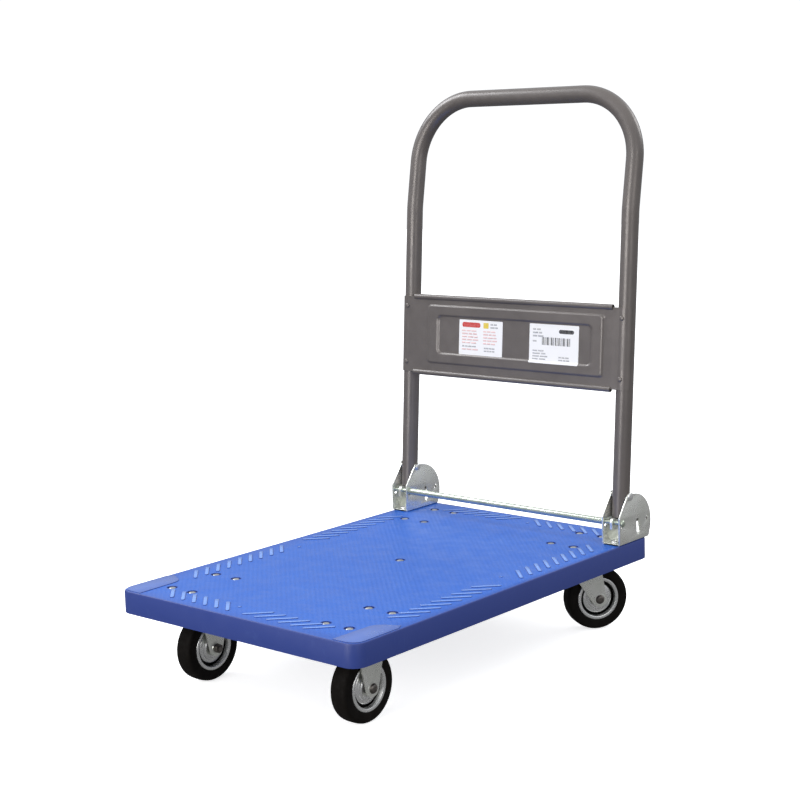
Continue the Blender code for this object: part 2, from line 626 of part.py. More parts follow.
def make_handle(frame):
    """Tube, panel, rivets, end plugs and labels, all on the pivots' axis."""
    pivot = add_empty("handle_axis", (0, PIVOT_Y, DECK_TOP + PIVOT_HEIGHT), 0, frame)
    mesh = tube_mesh("handle_tube", handle_path(), TUBE_RADIUS, 4, capped=False)
    tube = add_part("handle_tube", mesh, "grey_paint", pivot)
    wall = tube.modifiers.new("wall", "SOLIDIFY")
    wall.thickness = TUBE_WALL
    wall.offset = -1
    bore = cylinder_mesh("handle_pivot_bore", [(0, 0, -REACH, REACH, AXLE_RADIUS + GAP)], 16)
    boolean(tube, add_cutter("handle_pivot_bore", bore, TO_X, pivot))

    lean = Matrix.Rotation(-POST_LEAN, 4, "X")
    panel = add_part("handle_panel", panel_mesh("handle_panel"), "grey_paint", pivot, lean)
    hem_y = HEM_RADIUS - PANEL_SHEET / 2 - PANEL_WRAP
    for label, z in (("low", PANEL_LOW), ("high", PANEL_HIGH)):
        ends = [Vector((x * HEM_LENGTH / 2, hem_y, z)) for x in (-1, 1)]
        hem = tube_mesh(f"hem_{label}", ends, HEM_RADIUS, 2)
        boolean(panel, add_cutter(f"hem_{label}", hem, lean, pivot), "UNION")

    face = PANEL_WRAP + PANEL_SHEET / 2 + GAP
    shank = [(0, face + 1.8 * MM), (2.6 * MM, face + 1.5 * MM), (4 * MM, face), (RIVET_SHANK, face),
             (RIVET_SHANK, TUBE_RADIUS - 3 * MM), (0, TUBE_RADIUS - 3 * MM)]
    hole_rods = []
    for side, sign in SIDES.items():
        for label, z in (("lower", PANEL_LOW + RIVET_INSET), ("upper", PANEL_HIGH - RIVET_INSET)):
            place = lean @ Matrix.Translation((sign * POST_X, 0, z)) @ Matrix.Rotation(math.pi / 2, 4, "X")
            name = f"panel_rivet_{side}_{label}"
            add_part(name, turned_mesh(name, shank, 12, closed=False), "grey_paint", pivot, place)
            hole_rods.append((sign * POST_X, z, TUBE_RADIUS / 2, 2 * TUBE_RADIUS, RIVET_SHANK + GAP))
    drill = cylinder_mesh("rivet_holes", hole_rods, 10)
    drill.transform(Matrix.Rotation(math.pi / 2, 4, "X"))
    drill_cutter = add_cutter("rivet_holes", drill, lean, pivot)
    boolean(tube, drill_cutter)
    boolean(panel, drill_cutter)

    up = Vector((0, math.sin(POST_LEAN), math.cos(POST_LEAN)))
    inside = 0.95 * (TUBE_RADIUS - TUBE_WALL) - GAP
    plug = [(0, 12 * MM), (inside - 1 * MM, 12 * MM), (inside, 10 * MM), (inside, -GAP), (TUBE_RADIUS, -GAP),
            (TUBE_RADIUS - 1 * MM, -2 * MM), (0, -2 * MM)]
    for side, sign in SIDES.items():
        name = f"post_plug_{side}"
        place = Matrix.Translation(Vector((sign * POST_X, 0, 0)) - up * STUB) @ lean
        add_part(name, turned_mesh(name, plug, 20, closed=False), "black_plastic", pivot, place)

    middle = (PANEL_LOW + PANEL_HIGH) / 2
    for name, (left, right, bottom, top) in LABELS.items():
        sticker = ((left, -face - 0.4 * MM, middle + bottom), (right, -face, middle + top))
        add_part(name, box_mesh(name, [sticker]), "white_label", pivot, lean)


# Brackets and foot release ---------------------------------------------------------------------

def make_bracket(side, sign, frame):
    """A U-shaped channel: two ears on a base plate, with the pivot bolt through the top."""
    name = f"bracket_{side}"
    outline = [(EAR_NOSE, EAR_TOP), (0, EAR_FRONT), (0, 0), (BRACKET_LENGTH, 0)]
    outline += arc(EAR_CENTRE, EAR_RADIUS, -27, 79, 9)
    outline = [(y + BRACKET_Y, z) for y, z in outline]
    bar_low = BAR_HEIGHT - BAR_TRAVEL - 2 * GAP
    slots = [
        slot((BAR_Y, BAR_HEIGHT), (BAR_Y, bar_low), ROD_RADIUS + 2 * GAP),
        slot((PIN_Y, PIN_HEIGHT), (PIN_Y + 2 * MM, KEYHOLE_FOOT), PIN_RADIUS + 0.8 * MM, KEYHOLE_RADIUS),
        slot(*REAR_SLOT, 2 * MM),
    ]
    mesh = plate_mesh(name, [outline] + slots, BRACKET_WIDTH)
    centre = Matrix.Translation((sign * POST_X, 0, DECK_TOP + GAP))
    mesh.transform(upright(0, 0, 0))
    bracket = add_part(name, mesh, "zinc_plate", frame, centre)
    half = BRACKET_WIDTH / 2 - BRACKET_SHEET
    hollow = box_mesh(f"{name}_hollow", [((-half, -REACH, BRACKET_BASE), (half, REACH, REACH))])
    boolean(bracket, add_cutter(f"{name}_hollow", hollow, centre, frame))
    rods = [(0, y, -PAST, PAST, AXLE_RADIUS + GAP) for y in BRACKET_BOLTS_Y]
    holes = cylinder_mesh(f"{name}_holes", rods, 10)
    boolean(bracket, add_cutter(f"{name}_holes", holes, centre, frame))
    pivot_at = Matrix.Translation((sign * POST_X, PIVOT_Y, DECK_TOP + PIVOT_HEIGHT)) @ TO_X
    rod = (0, 0, -BRACKET_WIDTH, BRACKET_WIDTH, AXLE_RADIUS + GAP)
    bore = cylinder_mesh(f"{name}_pivot_bore", [rod], 16)
    boolean(bracket, add_cutter(f"{name}_pivot_bore", bore, pivot_at, frame))


def make_bracket_hardware(side, sign, frame):
    """The pivot bolt with its cap nut, and the two bolts that hold the bracket down."""
    outer = BRACKET_WIDTH / 2 + GAP
    head = [(0, outer + 3.4 * MM), (4.5 * MM, outer + 2.7 * MM), (7 * MM, outer), (AXLE_RADIUS, outer),
            (AXLE_RADIUS, -outer - 2 * MM), (0, -outer - 2 * MM)]
    bore = AXLE_RADIUS + GAP
    nut = [(0, -outer - 2.4 * MM), (bore, -outer - 2.4 * MM), (bore, -outer), (6.8 * MM, -outer),
           (4.5 * MM, -outer - 3.4 * MM), (0, -outer - 3.4 * MM)]
    facing = TO_X if sign > 0 else TO_X @ Matrix.Rotation(math.pi, 4, "X")
    at = Matrix.Translation((sign * POST_X, PIVOT_Y, DECK_TOP + PIVOT_HEIGHT)) @ facing
    for name, profile in ((f"pivot_bolt_{side}", head), (f"pivot_nut_{side}", nut)):
        add_part(name, turned_mesh(name, profile, 16, closed=False), "zinc_plate", frame, at)
    seat = BRACKET_BASE + 2 * GAP
    end = BRACKET_BASE - DECK_HEIGHT + 2 * MM
    bolt = [(0, seat + 4 * MM), (4.5 * MM, seat + 3.2 * MM), (7 * MM, seat), (AXLE_RADIUS, seat),
            (AXLE_RADIUS, end), (0, end)]
    for label, y in zip(("front", "rear"), BRACKET_BOLTS_Y):
        name = f"bracket_bolt_{side}_{label}"
        add_part(name, turned_mesh(name, bolt, 14, closed=False), "zinc_plate", frame,
                 Matrix.Translation((sign * POST_X, y, DECK_TOP)))


def lock_outline():
    """The lock plate from the side: an eye on the bar, a neck under the post, and the catch behind it."""
    eye = ROD_RADIUS + 4 * MM
    catch_back = PIN_Y + 8 * MM
    outline = arc((BAR_Y, BAR_HEIGHT), eye, 20, 200, 10)
    outline += [(BAR_Y - eye, LOCK_LOW), (catch_back, LOCK_LOW), (catch_back, LOCK_CATCH - 2 * MM)]
    outline += [(catch_back - 2 * MM, LOCK_CATCH), (PIN_Y - 5.5 * MM, LOCK_CATCH)]
    return outline + [(PIN_Y - 6.5 * MM, LOCK_NECK), (BAR_Y + eye, LOCK_NECK)]


def make_release(frame):
    """The foot bar that runs through all four ears, with a lock plate and pin on each side."""
    body = add_empty("release_axis", (0, BAR_Y, DECK_TOP + BAR_HEIGHT), 0, frame)
    end = POST_X + BRACKET_WIDTH / 2 + GAP
    shoulder = POST_X - BRACKET_WIDTH / 2 - GAP
    bar = [(0, end + 3.6 * MM), (3.8 * MM, end + 2.8 * MM), (ROD_HEAD, end), (ROD_RADIUS, end),
           (ROD_RADIUS, shoulder), (BAR_RADIUS, shoulder)]
    bar += [(radius, -height) for radius, height in reversed(bar)]
    add_part("release_bar", turned_mesh("release_bar", bar, 16, closed=False), "zinc_plate", body, TO_X)
    bar_hole = circle((BAR_Y, BAR_HEIGHT), ROD_RADIUS + GAP, 16)
    pin_hole = circle((PIN_Y, PIN_HEIGHT), PIN_RADIUS + GAP, 12)
    to_body = Matrix.Translation((0, -BAR_Y, -BAR_HEIGHT))
    pin_half = BRACKET_WIDTH / 2 - 0.5 * MM
    pin = [(0, pin_half), (PIN_RADIUS, pin_half), (PIN_RADIUS, -pin_half), (0, -pin_half)]
    for side, sign in SIDES.items():
        mesh = plate_mesh(f"lock_plate_{side}", [lock_outline(), bar_hole, pin_hole], LOCK_SHEET)
        mesh.transform(upright(sign * POST_X, 0, 0))
        add_part(f"lock_plate_{side}", mesh, "zinc_plate", body, to_body)
        place = to_body @ Matrix.Translation((sign * POST_X, PIN_Y, PIN_HEIGHT)) @ TO_X
        pin_mesh = turned_mesh(f"lock_pin_{side}", pin, 14, closed=False)
        add_part(f"lock_pin_{side}", pin_mesh, "dark_steel", body, place)


def make_spring(side, sign, frame):
    """The spring that stands on the bracket's base and lifts the lock plate."""
    turns, per_turn = 4, 7
    rise = SPRING_HEIGHT - 2 * SPRING_WIRE
    coil = SPRING_RADIUS - SPRING_WIRE
    points = []
    for i in range(turns * per_turn + 1):
        angle = FULL_TURN * i / per_turn
        points.append(Vector((coil * math.cos(angle), coil * math.sin(angle), rise * i / (turns * per_turn))))
    base = DECK_TOP + GAP + BRACKET_BASE + GAP + SPRING_WIRE
    place = Matrix.Translation((sign * POST_X, SPRING_Y, base))
    mesh = tube_mesh(f"release_spring_{side}", points, SPRING_WIRE, 1)
    add_part(f"release_spring_{side}", mesh, "spring_steel", frame, place)


def build():
    # The deck is centred on its own frame; the whole cart is centred on the origin.
    frame = add_empty("cart_frame", (0, (DECK_LENGTH / 2 - GRIP_REAR) / 2, 0))
    make_deck(frame)
    for side, sign in SIDES.items():
        make_rigid_caster(side, sign, frame)
        make_swivel_caster(side, sign, frame)
        make_bracket(side, sign, frame)
        make_bracket_hardware(side, sign, frame)
        make_spring(side, sign, frame)
    make_release(frame)
    make_handle(frame)


build()
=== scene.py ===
import json
import math

import bmesh
import bpy
from mathutils import Matrix, Vector


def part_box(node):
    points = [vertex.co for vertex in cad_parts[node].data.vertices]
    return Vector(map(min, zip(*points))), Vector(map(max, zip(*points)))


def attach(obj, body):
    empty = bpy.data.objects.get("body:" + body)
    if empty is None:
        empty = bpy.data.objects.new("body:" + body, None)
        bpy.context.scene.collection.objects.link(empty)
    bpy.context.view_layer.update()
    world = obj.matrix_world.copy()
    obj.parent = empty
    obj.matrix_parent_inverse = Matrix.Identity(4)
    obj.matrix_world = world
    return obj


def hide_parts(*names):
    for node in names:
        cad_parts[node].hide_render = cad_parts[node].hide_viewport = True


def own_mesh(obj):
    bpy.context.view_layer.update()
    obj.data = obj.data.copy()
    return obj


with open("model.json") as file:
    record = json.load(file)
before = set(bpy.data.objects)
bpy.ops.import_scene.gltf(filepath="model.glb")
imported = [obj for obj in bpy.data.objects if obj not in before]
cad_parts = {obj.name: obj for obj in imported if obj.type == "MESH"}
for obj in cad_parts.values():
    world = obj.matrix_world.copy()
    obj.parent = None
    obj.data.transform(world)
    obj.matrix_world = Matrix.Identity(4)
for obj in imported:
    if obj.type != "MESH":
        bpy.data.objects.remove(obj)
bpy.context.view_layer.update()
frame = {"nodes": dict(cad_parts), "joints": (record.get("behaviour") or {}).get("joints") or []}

MM = 0.001
JOINTS = {joint["name"]: joint for joint in frame["joints"]}
SIDES = {"left": -1, "right": 1}

# Places read from the frame
DECK_LOW, DECK_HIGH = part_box("deck")
DECK_Y = (DECK_LOW.y + DECK_HIGH.y) / 2
DECK_TOP = DECK_HIGH.z
HALF_WIDTH, HALF_LENGTH = (DECK_HIGH.x - DECK_LOW.x) / 2, (DECK_HIGH.y - DECK_LOW.y) / 2
PIVOT = Vector(JOINTS["handle_fold"]["pos_m"])
BAR_LOW, BAR_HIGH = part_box("release_bar")
BAR = Vector((0, (BAR_LOW.y + BAR_HIGH.y) / 2, (BAR_LOW.z + BAR_HIGH.z) / 2))
PLUG_LOW, PLUG_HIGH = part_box("post_plug_right")
POST_X = (PLUG_LOW.x + PLUG_HIGH.x) / 2
TUBE_RADIUS = (PLUG_HIGH.x - PLUG_LOW.x) / 2
GRIP_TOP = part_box("handle_tube")[1]

# Handle
POST_LEAN = math.radians(4.2)
GRIP_LEAN = math.radians(9.4)
KINK_HEIGHT = 458 * MM              # above the pivot
GRIP_HEIGHT = GRIP_TOP.z - TUBE_RADIUS - PIVOT.z
GRIP_BEND = 107 * MM
KINK_BEND = 150 * MM
STUB = 35 * MM
TUBE_WALL = 1.5 * MM
PANEL_LOW, PANEL_HIGH = 171.5 * MM, 303.5 * MM     # above the pivot, along the posts
PANEL_SHEET = 1.2 * MM
PANEL_FACE = TUBE_RADIUS + 1.8 * MM   # from the posts' axis to the panel's front
HEM_RADIUS = 4.6 * MM
HEM_Y = 1.5 * MM - PANEL_FACE       # the hems' middle, from the posts' axis
HEM_LENGTH = 412 * MM
PANEL_FLAT = POST_X - 15 * MM       # half the sheet's flat middle
PANEL_CELLS = (190, 160)            # faces across the flat middle and up the sheet
FRAME_SHIFT = (8 * MM, 2.5 * MM)    # of the pressed frame, from the panel's middle
FRAME_OUTER, FRAME_INNER = (183 * MM, 51 * MM), (158 * MM, 31.5 * MM)
FRAME_CORNER = 7 * MM
FRAME_RISE, FRAME_SLOPE = 2.4 * MM, 3 * MM
RIVET_INSET = 17 * MM
LABEL_STEP = 1.5 * MM               # grid of the stickers, which follow the pressed sheet
LABEL_LIFT, INK_LIFT = 0.3 * MM, 0.06 * MM
LEFT_LABEL = ((-105 * MM, -12 * MM), (-29 * MM, 31 * MM))      # across, and up from the panel's middle
RIGHT_LABEL = ((44 * MM, 143 * MM), (-33 * MM, 32 * MM))

# Casters
FORK_INSIDE = 37 * MM
FORK_SHEET = 2.5 * MM
CROWN_FOLD = 4 * MM
EYE_RADIUS = 13 * MM                # of a leg's round end
PLATE = 3 * MM
PLATE_WIDTH = 62 * MM
BOLT_BAND = 18 * MM
BOLT_PITCH_X = 44 * MM
PITCH_Y = {"front": 90 * MM, "rear": 82 * MM}
SEAT_DEPTH = 23.3 * MM
RACE_HEIGHT = 7.4 * MM
RACE_RADIUS = 24 * MM
AXLE_RADIUS = 4 * MM
AXLE_HEIGHT = 52.5 * MM
TRAIL = 31.3 * MM                   # of the rear axles behind their kingpins
RIM_RADIUS, RIM_BORE = 35.4 * MM, 8.3 * MM
TYRE_WIDTH = 29.7 * MM
GROOVE_OUT, GROOVE_IN = 5.9 * MM, 10.4 * MM     # the rim's groove, inwards from the flange

# Deck relief
BAR_RISE = 0.9 * MM
BAR_REACH = 14 * MM                 # of a grip bar along and across
BAR_PITCH = 23.6 * MM
SIDE_BARS, END_BARS = 9, 6          # in each half row
SIDE_ROW, END_ROW = 34 * MM, 32 * MM    # in from the deck's edges
RECESS_DEPTH = 2.4 * MM
CENTRE_BOLT_Y = 10 * MM
CENTRE_NUT_TOP = 24 * MM            # under the loading face
BOLT_LENGTH = 30 * MM

# Brackets
BRACKET_SHEET, BRACKET_BASE = 2.2 * MM, 2.5 * MM
BRACKET_FOLD = 3 * MM
BASE_LENGTH, BASE_MIDDLE = 86 * MM, 43.5 * MM      # along the deck

# Studio
BACKDROP_RADIUS = 12.0
BACKDROP_GLOW = 1.1
FLOOR_GLOW = 0.8

TO_X = Matrix.Rotation(math.pi / 2, 4, "Y")
STAND_UP = Matrix(((1, 0, 0, 0), (0, 0, -1, 0), (0, 1, 0, 0), (0, 0, 0, 1)))       # XY onto XZ
HANDLE = Matrix.Translation(PIVOT) @ Matrix.Rotation(-POST_LEAN, 4, "X")


# ---- Materials ----

class Surface:
    """A Principled material built up from procedural textures in object coordinates."""

    def __init__(self, name, roughness, metallic=0.0, **sockets):
        self.material = bpy.data.materials.new(name)
        self.material.use_nodes = True
        self.tree = self.material.node_tree
        self.shader = self.tree.nodes["Principled BSDF"]
        self.place = self.add("ShaderNodeTexCoord").outputs["Object"]
        self.shader.inputs["Roughness"].default_value = roughness
        self.shader.inputs["Metallic"].default_value = metallic
        for socket, value in sockets.items():
            self.shader.inputs[socket.replace("_", " ")].default_value = value
        self.normal = None

    def add(self, kind, inputs=(), **settings):
        node = self.tree.nodes.new(kind)
        for key, value in settings.items():
            setattr(node, key, value)
        for key, value in dict(inputs).items():
            if isinstance(value, bpy.types.NodeSocket):
                self.tree.links.new(value, node.inputs[key])
            else:
                node.inputs[key].default_value = value
        return node

    def stretched(self, scale=(1, 1, 1), turn=(0, 0, 0)):
        inputs = {"Vector": self.place, "Scale": scale, "Rotation": turn}
        return self.add("ShaderNodeMapping", inputs).outputs["Vector"]

    def noise(self, scale, detail=4.0, roughness=0.55, place=None):
        inputs = {"Vector": place or self.place, "Scale": scale, "Detail": detail, "Roughness": roughness}
        return self.add("ShaderNodeTexNoise", inputs).outputs["Fac"]

    def cells(self, scale):
        return self.add("ShaderNodeTexVoronoi", {"Vector": self.place, "Scale": scale}).outputs["Distance"]

    def ridges(self, scale, turn):
        inputs = {"Vector": self.stretched(turn=(0, 0, turn)), "Scale": scale, "Distortion": 0.0}
        return self.add("ShaderNodeTexWave", inputs, bands_direction="X", wave_profile="SIN").outputs["Fac"]

    def facing_up(self):
        """1 where the surface faces up and 0 on its sides."""
        normal = self.add("ShaderNodeNewGeometry").outputs["Normal"]
        height = self.add("ShaderNodeSeparateXYZ", {"Vector": normal}).outputs["Z"]
        return self.ranged(height, 0, 1, 0.95, 0.999)

    def ranged(self, value, low, high, start=0.35, end=0.65):
        inputs = {"Value": value, "From Min": start, "From Max": end, "To Min": low, "To Max": high}
        return self.add("ShaderNodeMapRange", inputs).outputs["Result"]

    def sum(self, a, b, operation="ADD"):
        return self.add("ShaderNodeMath", {0: a, 1: b}, operation=operation).outputs["Value"]

    def mix(self, share, first, second):
        node = self.add("ShaderNodeMix", data_type="RGBA")
        for key, value in ((0, share), (6, first), (7, second)):
            if isinstance(value, bpy.types.NodeSocket):
                self.tree.links.new(value, node.inputs[key])
            else:
                node.inputs[key].default_value = value if key == 0 else (*value, 1)
        return node.outputs[2]

    def colour(self, value):
        self.tree.links.new(value, self.shader.inputs["Base Color"])

    def roughness(self, value):
        self.tree.links.new(value, self.shader.inputs["Roughness"])

    def bump(self, height, distance, strength=1.0):
        inputs = {"Height": height, "Distance": distance, "Strength": strength}
        if self.normal is not None:
            inputs["Normal"] = self.normal
        self.normal = self.add("ShaderNodeBump", inputs).outputs["Normal"]
        self.tree.links.new(self.normal, self.shader.inputs["Normal"])


def deck_plastic(name, hatched, shades, gloss):
    """Moulded blue polypropylene: fine grain, mottling, scuffs, painted shade on the side faces and, on the
    deck, a cross hatch.
    """
    s = Surface(name, gloss, Specular_IOR_Level=0.45, Coat_Weight=0.05, Coat_Roughness=0.25)
    mottle = s.ranged(s.noise(30, 5), 0, 1, 0.2, 0.8)
    blue = s.mix(mottle, *shades)
    # Painted shade: faces that do not face up take the darker side blue.
    blue = s.mix(s.facing_up(), SIDE_PAINTED_SHADE_BLUE, blue)
    scuffs = s.noise(60, 3, place=s.stretched((1, 7, 1), (0, 0, 0.5)))
    blue = s.mix(s.ranged(scuffs, 0, 0.06, 0.6, 0.8), blue, (0.16, 0.28, 0.62))
    s.colour(blue)
    s.roughness(s.ranged(s.noise(35, 6), gloss - 0.07, gloss + 0.08))
    s.bump(s.noise(1400, 2), 0.06 * MM, 0.5)
    if hatched:
        hatch = s.sum(s.ridges(44, math.pi / 4), s.ridges(44, -math.pi / 4), "MULTIPLY")
        s.bump(s.sum(hatch, s.facing_up(), "MULTIPLY"), 0.5 * MM, 0.8)
    return s.material


def zinc(name, shades, roughness, streak):
    """Zinc plate: faint yellow-green clouding over brushed streaks, and small dull spots."""
    s = Surface(name, roughness, 0.82)
    cloud = s.ranged(s.noise(38, 4), 0, 1)
    base = s.mix(cloud, shades[0], shades[1])
    spots = s.ranged(s.cells(420), 1, 0, 0.0, 0.25)
    base = s.mix(s.sum(spots, 0.35, "MULTIPLY"), base, (0.42, 0.43, 0.42))
    s.colour(base)
    brushed = s.noise(520, 3, place=s.stretched(streak))
    s.roughness(s.ranged(s.sum(s.noise(50, 5), brushed), roughness - 0.06, roughness + 0.10, 0.7, 1.3))
    s.bump(brushed, 0.02 * MM, 0.15)
    s.bump(s.noise(40, 2), 0.2 * MM, 0.12)
    return s.material


def powder_coat(name):
    """Taupe grey powder coat: orange peel, a little flake and a few rubbed patches."""
    s = Surface(name, 0.36, 0.25, Specular_IOR_Level=0.55, Coat_Weight=0.25, Coat_Roughness=0.2)
    drift = s.ranged(s.noise(14, 5), 0, 1)
    grey = s.mix(drift, (0.132, 0.117, 0.110), (0.156, 0.138, 0.129))
    flake = s.ranged(s.noise(2600, 1), 0, 0.22, 0.6, 0.75)
    grey = s.mix(flake, grey, (0.30, 0.29, 0.29))
    s.colour(grey)
    s.roughness(s.ranged(s.noise(70, 5), 0.30, 0.44))
    s.bump(s.noise(650, 2), 0.07 * MM, 0.45)
    return s.material


def tyre_rubber(name):
    """Matt black rubber with mould grain and a trace of floor dust."""
    s = Surface(name, 0.7, Specular_IOR_Level=0.12)
    dust = s.ranged(s.noise(45, 6), 0, 0.5, 0.5, 0.78)
    s.colour(s.mix(dust, (0.0055, 0.0043, 0.0036), (0.016, 0.013, 0.011)))
    s.roughness(s.ranged(s.noise(120, 4), 0.58, 0.8))
    s.bump(s.noise(900, 3), 0.12 * MM, 0.6)
    return s.material


def dark_metal(name, shade, roughness):
    """Oiled steel: dark blotches, machining streaks and worn glints."""
    s = Surface(name, roughness, 1.0)
    blotch = s.ranged(s.noise(120, 5), 0, 1)
    s.colour(s.mix(blotch, shade, tuple(min(1, 1.7 * c) for c in shade)))
    s.roughness(s.ranged(s.noise(260, 4), roughness - 0.1, roughness + 0.12))
    s.bump(s.noise(800, 2, place=s.stretched((1, 1, 5))), 0.05 * MM, 0.5)
    return s.material


def black_moulding(name):
    """Black nylon with a fine spark-eroded texture."""
    s = Surface(name, 0.5)
    s.colour(s.mix(s.ranged(s.noise(80, 4), 0, 1), (0.018, 0.018, 0.019), (0.032, 0.031, 0.031)))
    s.roughness(s.ranged(s.noise(200, 4), 0.42, 0.6))
    s.bump(s.cells(1500), 0.05 * MM, 0.5)
    return s.material


def print_on_film(name, shade, fade=0.0):
    """Satin sticker film in one printed colour, with a soft tooth and faint wear."""
    s = Surface(name, 0.38, Coat_Weight=0.2, Coat_Roughness=0.15)
    paper = tuple(c + (0.93 - c) * fade for c in shade)
    worn = tuple(c + (0.90 - c) * 0.12 for c in paper)
    s.colour(s.mix(s.ranged(s.noise(300, 5), 0, 1), paper, worn))
    s.roughness(s.ranged(s.noise(150, 4), 0.32, 0.48))
    s.bump(s.noise(500, 3), 0.03 * MM, 0.5)
    return s.material


def floor_paper(name):
    """Pale paper that glows a little, so that it stays as light as the backdrop."""
    s = Surface(name, 0.9, Specular_IOR_Level=0.2)
    tone = s.mix(s.ranged(s.noise(3, 4), 0, 1), (0.90, 0.90, 0.90), (0.92, 0.92, 0.92))
    s.colour(tone)
    s.tree.links.new(tone, s.shader.inputs["Emission Color"])
    s.shader.inputs["Emission Strength"].default_value = FLOOR_GLOW
    s.bump(s.noise(300, 3), 0.05 * MM, 0.2)
    return s.material


# Painted shade: a darker blue for the deck's side faces, standing in for the lower light they get.
SIDE_PAINTED_SHADE_BLUE = (0.026, 0.052, 0.25)
BLUE = deck_plastic("blue_plastic_top", True, ((0.017, 0.117, 0.54), (0.021, 0.133, 0.58)), 0.42)
# Painted sheen: the grip bars get a lighter blue that stands in for the light they catch.
BLUE_PAINTED_SHEEN = deck_plastic("blue_plastic_painted_sheen", False, ((0.15, 0.31, 0.80), (0.20, 0.38, 0.86)), 0.27)
BLUE_SATIN = deck_plastic("blue_plastic_satin", False, ((0.085, 0.165, 0.50), (0.10, 0.18, 0.53)), 0.3)
ZINC_SHEET = zinc("zinc_sheet", ((0.88, 0.90, 0.83), (0.96, 0.97, 0.92)), 0.27, (1, 1, 9))
ZINC_BRIGHT = zinc("zinc_bright", ((0.84, 0.85, 0.83), (0.93, 0.93, 0.92)), 0.22, (6, 1, 1))
ZINC_ROD = zinc("zinc_rod", ((0.46, 0.52, 0.44), (0.60, 0.65, 0.57)), 0.2, (9, 1, 1))
ZINC_DULL = zinc("zinc_dull", ((0.36, 0.37, 0.37), (0.48, 0.49, 0.48)), 0.3, (6, 1, 1))
PAINT = powder_coat("grey_powder_coat")
RUBBER = tyre_rubber("tyre_rubber")
DARK = dark_metal("dark_steel", (0.13, 0.12, 0.11), 0.4)
SPRING_STEEL = dark_metal("spring_steel", (0.36, 0.35, 0.34), 0.32)
NYLON = black_moulding("black_nylon")
# Painted shade: near black for the rim's deep groove, where shade falls.
GROOVE_PAINTED_SHADE = dark_metal("groove_painted_shade", (0.012, 0.012, 0.012), 0.5)
FILM = print_on_film("label_film", (0.95, 0.945, 0.94))
INK_RED = print_on_film("label_red", (0.62, 0.035, 0.03))
INK_PINK = print_on_film("label_pink", (0.80, 0.40, 0.36), 0.35)
INK_YELLOW = print_on_film("label_yellow", (0.80, 0.60, 0.05))
INK_GREY = print_on_film("label_grey", (0.22, 0.22, 0.23), 0.35)
INK_BLACK = print_on_film("label_black", (0.02, 0.02, 0.022))


# ---- Mesh helpers ----

def in_scene(name, data):
    obj = bpy.data.objects.new(name, data)
    bpy.context.scene.collection.objects.link(obj)
    return obj


def piece(name, mesh, material, body, matrix=None, replaces=(), sharp=35):
    """A shown piece: its mesh is put in the row frame, shaded by angle, and rides on its body."""
    mesh.name = name
    if matrix is not None:
        mesh.transform(matrix)
    if material is not None:
        mesh.materials.clear()
        mesh.materials.append(material)
    mesh.shade_smooth()
    mesh.set_sharp_from_angle(angle=math.radians(sharp))
    obj = in_scene(name, mesh)
    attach(obj, body)
    if replaces:
        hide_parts(*replaces)
    return obj


def from_bmesh(bm):
    mesh = bpy.data.meshes.new("mesh")
    bm.normal_update()
    bm.to_mesh(mesh)
    bm.free()
    return mesh


def applied(mesh, modifiers):
    """The mesh after modifiers given as (type, {settings})."""
    obj = in_scene("working", mesh)
    for kind, settings in modifiers:
        modifier = obj.modifiers.new(kind.lower(), kind)
        for key, value in settings.items():
            setattr(modifier, key, value)
    bpy.context.view_layer.update()
    depsgraph = bpy.context.evaluated_depsgraph_get()
    result = bpy.data.meshes.new_from_object(obj.evaluated_get(depsgraph))
    bpy.data.objects.remove(obj, do_unlink=True)
    return result


def bevelled(mesh, width, segments=2, angle=40):
    settings = {"width": width, "segments": segments, "limit_method": "ANGLE",
                "angle_limit": math.radians(angle), "use_clamp_overlap": True}
    return applied(mesh, [("BEVEL", settings)])


def joined(meshes):
    """Several meshes in one, keeping their materials."""
    bm = bmesh.new()
    materials = []
    for mesh in meshes:
        start = len(bm.faces)
        bm.from_mesh(mesh)
        bm.faces.ensure_lookup_table()
        shift = len(materials)
        for face in bm.faces[start:]:
            face.material_index += shift
        materials += list(mesh.materials) or [None]
    result = from_bmesh(bm)
    for material in materials:
        result.materials.append(material)
    return result


def turned(profile, steps=64, closed=False):
    """A profile of (radius, height) turned about Z."""
    turns = [2 * math.pi * i / steps for i in range(steps)]
    bm = bmesh.new()
    rings = []
    for radius, height in profile:
        if radius < 1e-7:
            rings.append([bm.verts.new((0, 0, height))])
        else:
            rings.append([bm.verts.new((radius * math.cos(a), radius * math.sin(a), height)) for a in turns])
    for lower, upper in zip(rings, rings[1:] + rings[:1] if closed else rings[1:]):
        for i in range(steps):
            ends = ((lower, i), (lower, i + 1), (upper, i + 1), (upper, i))
            face = list(dict.fromkeys(ring[k % len(ring)] for ring, k in ends))
            if len(face) > 2:
                bm.faces.new(face)
    bmesh.ops.recalc_face_normals(bm, faces=bm.faces)
    return from_bmesh(bm)


def swept(points, radius, sides, capped=True):
    """A round tube along a path, with its section carried along without twisting."""
    points = [Vector(p) for p in points]
    turns = [2 * math.pi * k / sides for k in range(sides)]
    bm = bmesh.new()
    rings = []
    side = None
    for i, point in enumerate(points):
        along = (points[min(i + 1, len(points) - 1)] - points[max(i - 1, 0)]).normalized()
        if side is None:
            side = along.orthogonal().normalized()
        side = (side - along * side.dot(along)).normalized()
        other = along.cross(side)
        ring = [point + radius * (side * math.cos(a) + other * math.sin(a)) for a in turns]
        rings.append([bm.verts.new(corner) for corner in ring])
    for lower, upper in zip(rings, rings[1:]):
        for k in range(sides):
            bm.faces.new((lower[k], lower[(k + 1) % sides], upper[(k + 1) % sides], upper[k]))
    if capped:
        bm.faces.new(rings[0])
        bm.faces.new(rings[-1])
    bmesh.ops.recalc_face_normals(bm, faces=bm.faces)
    return from_bmesh(bm)


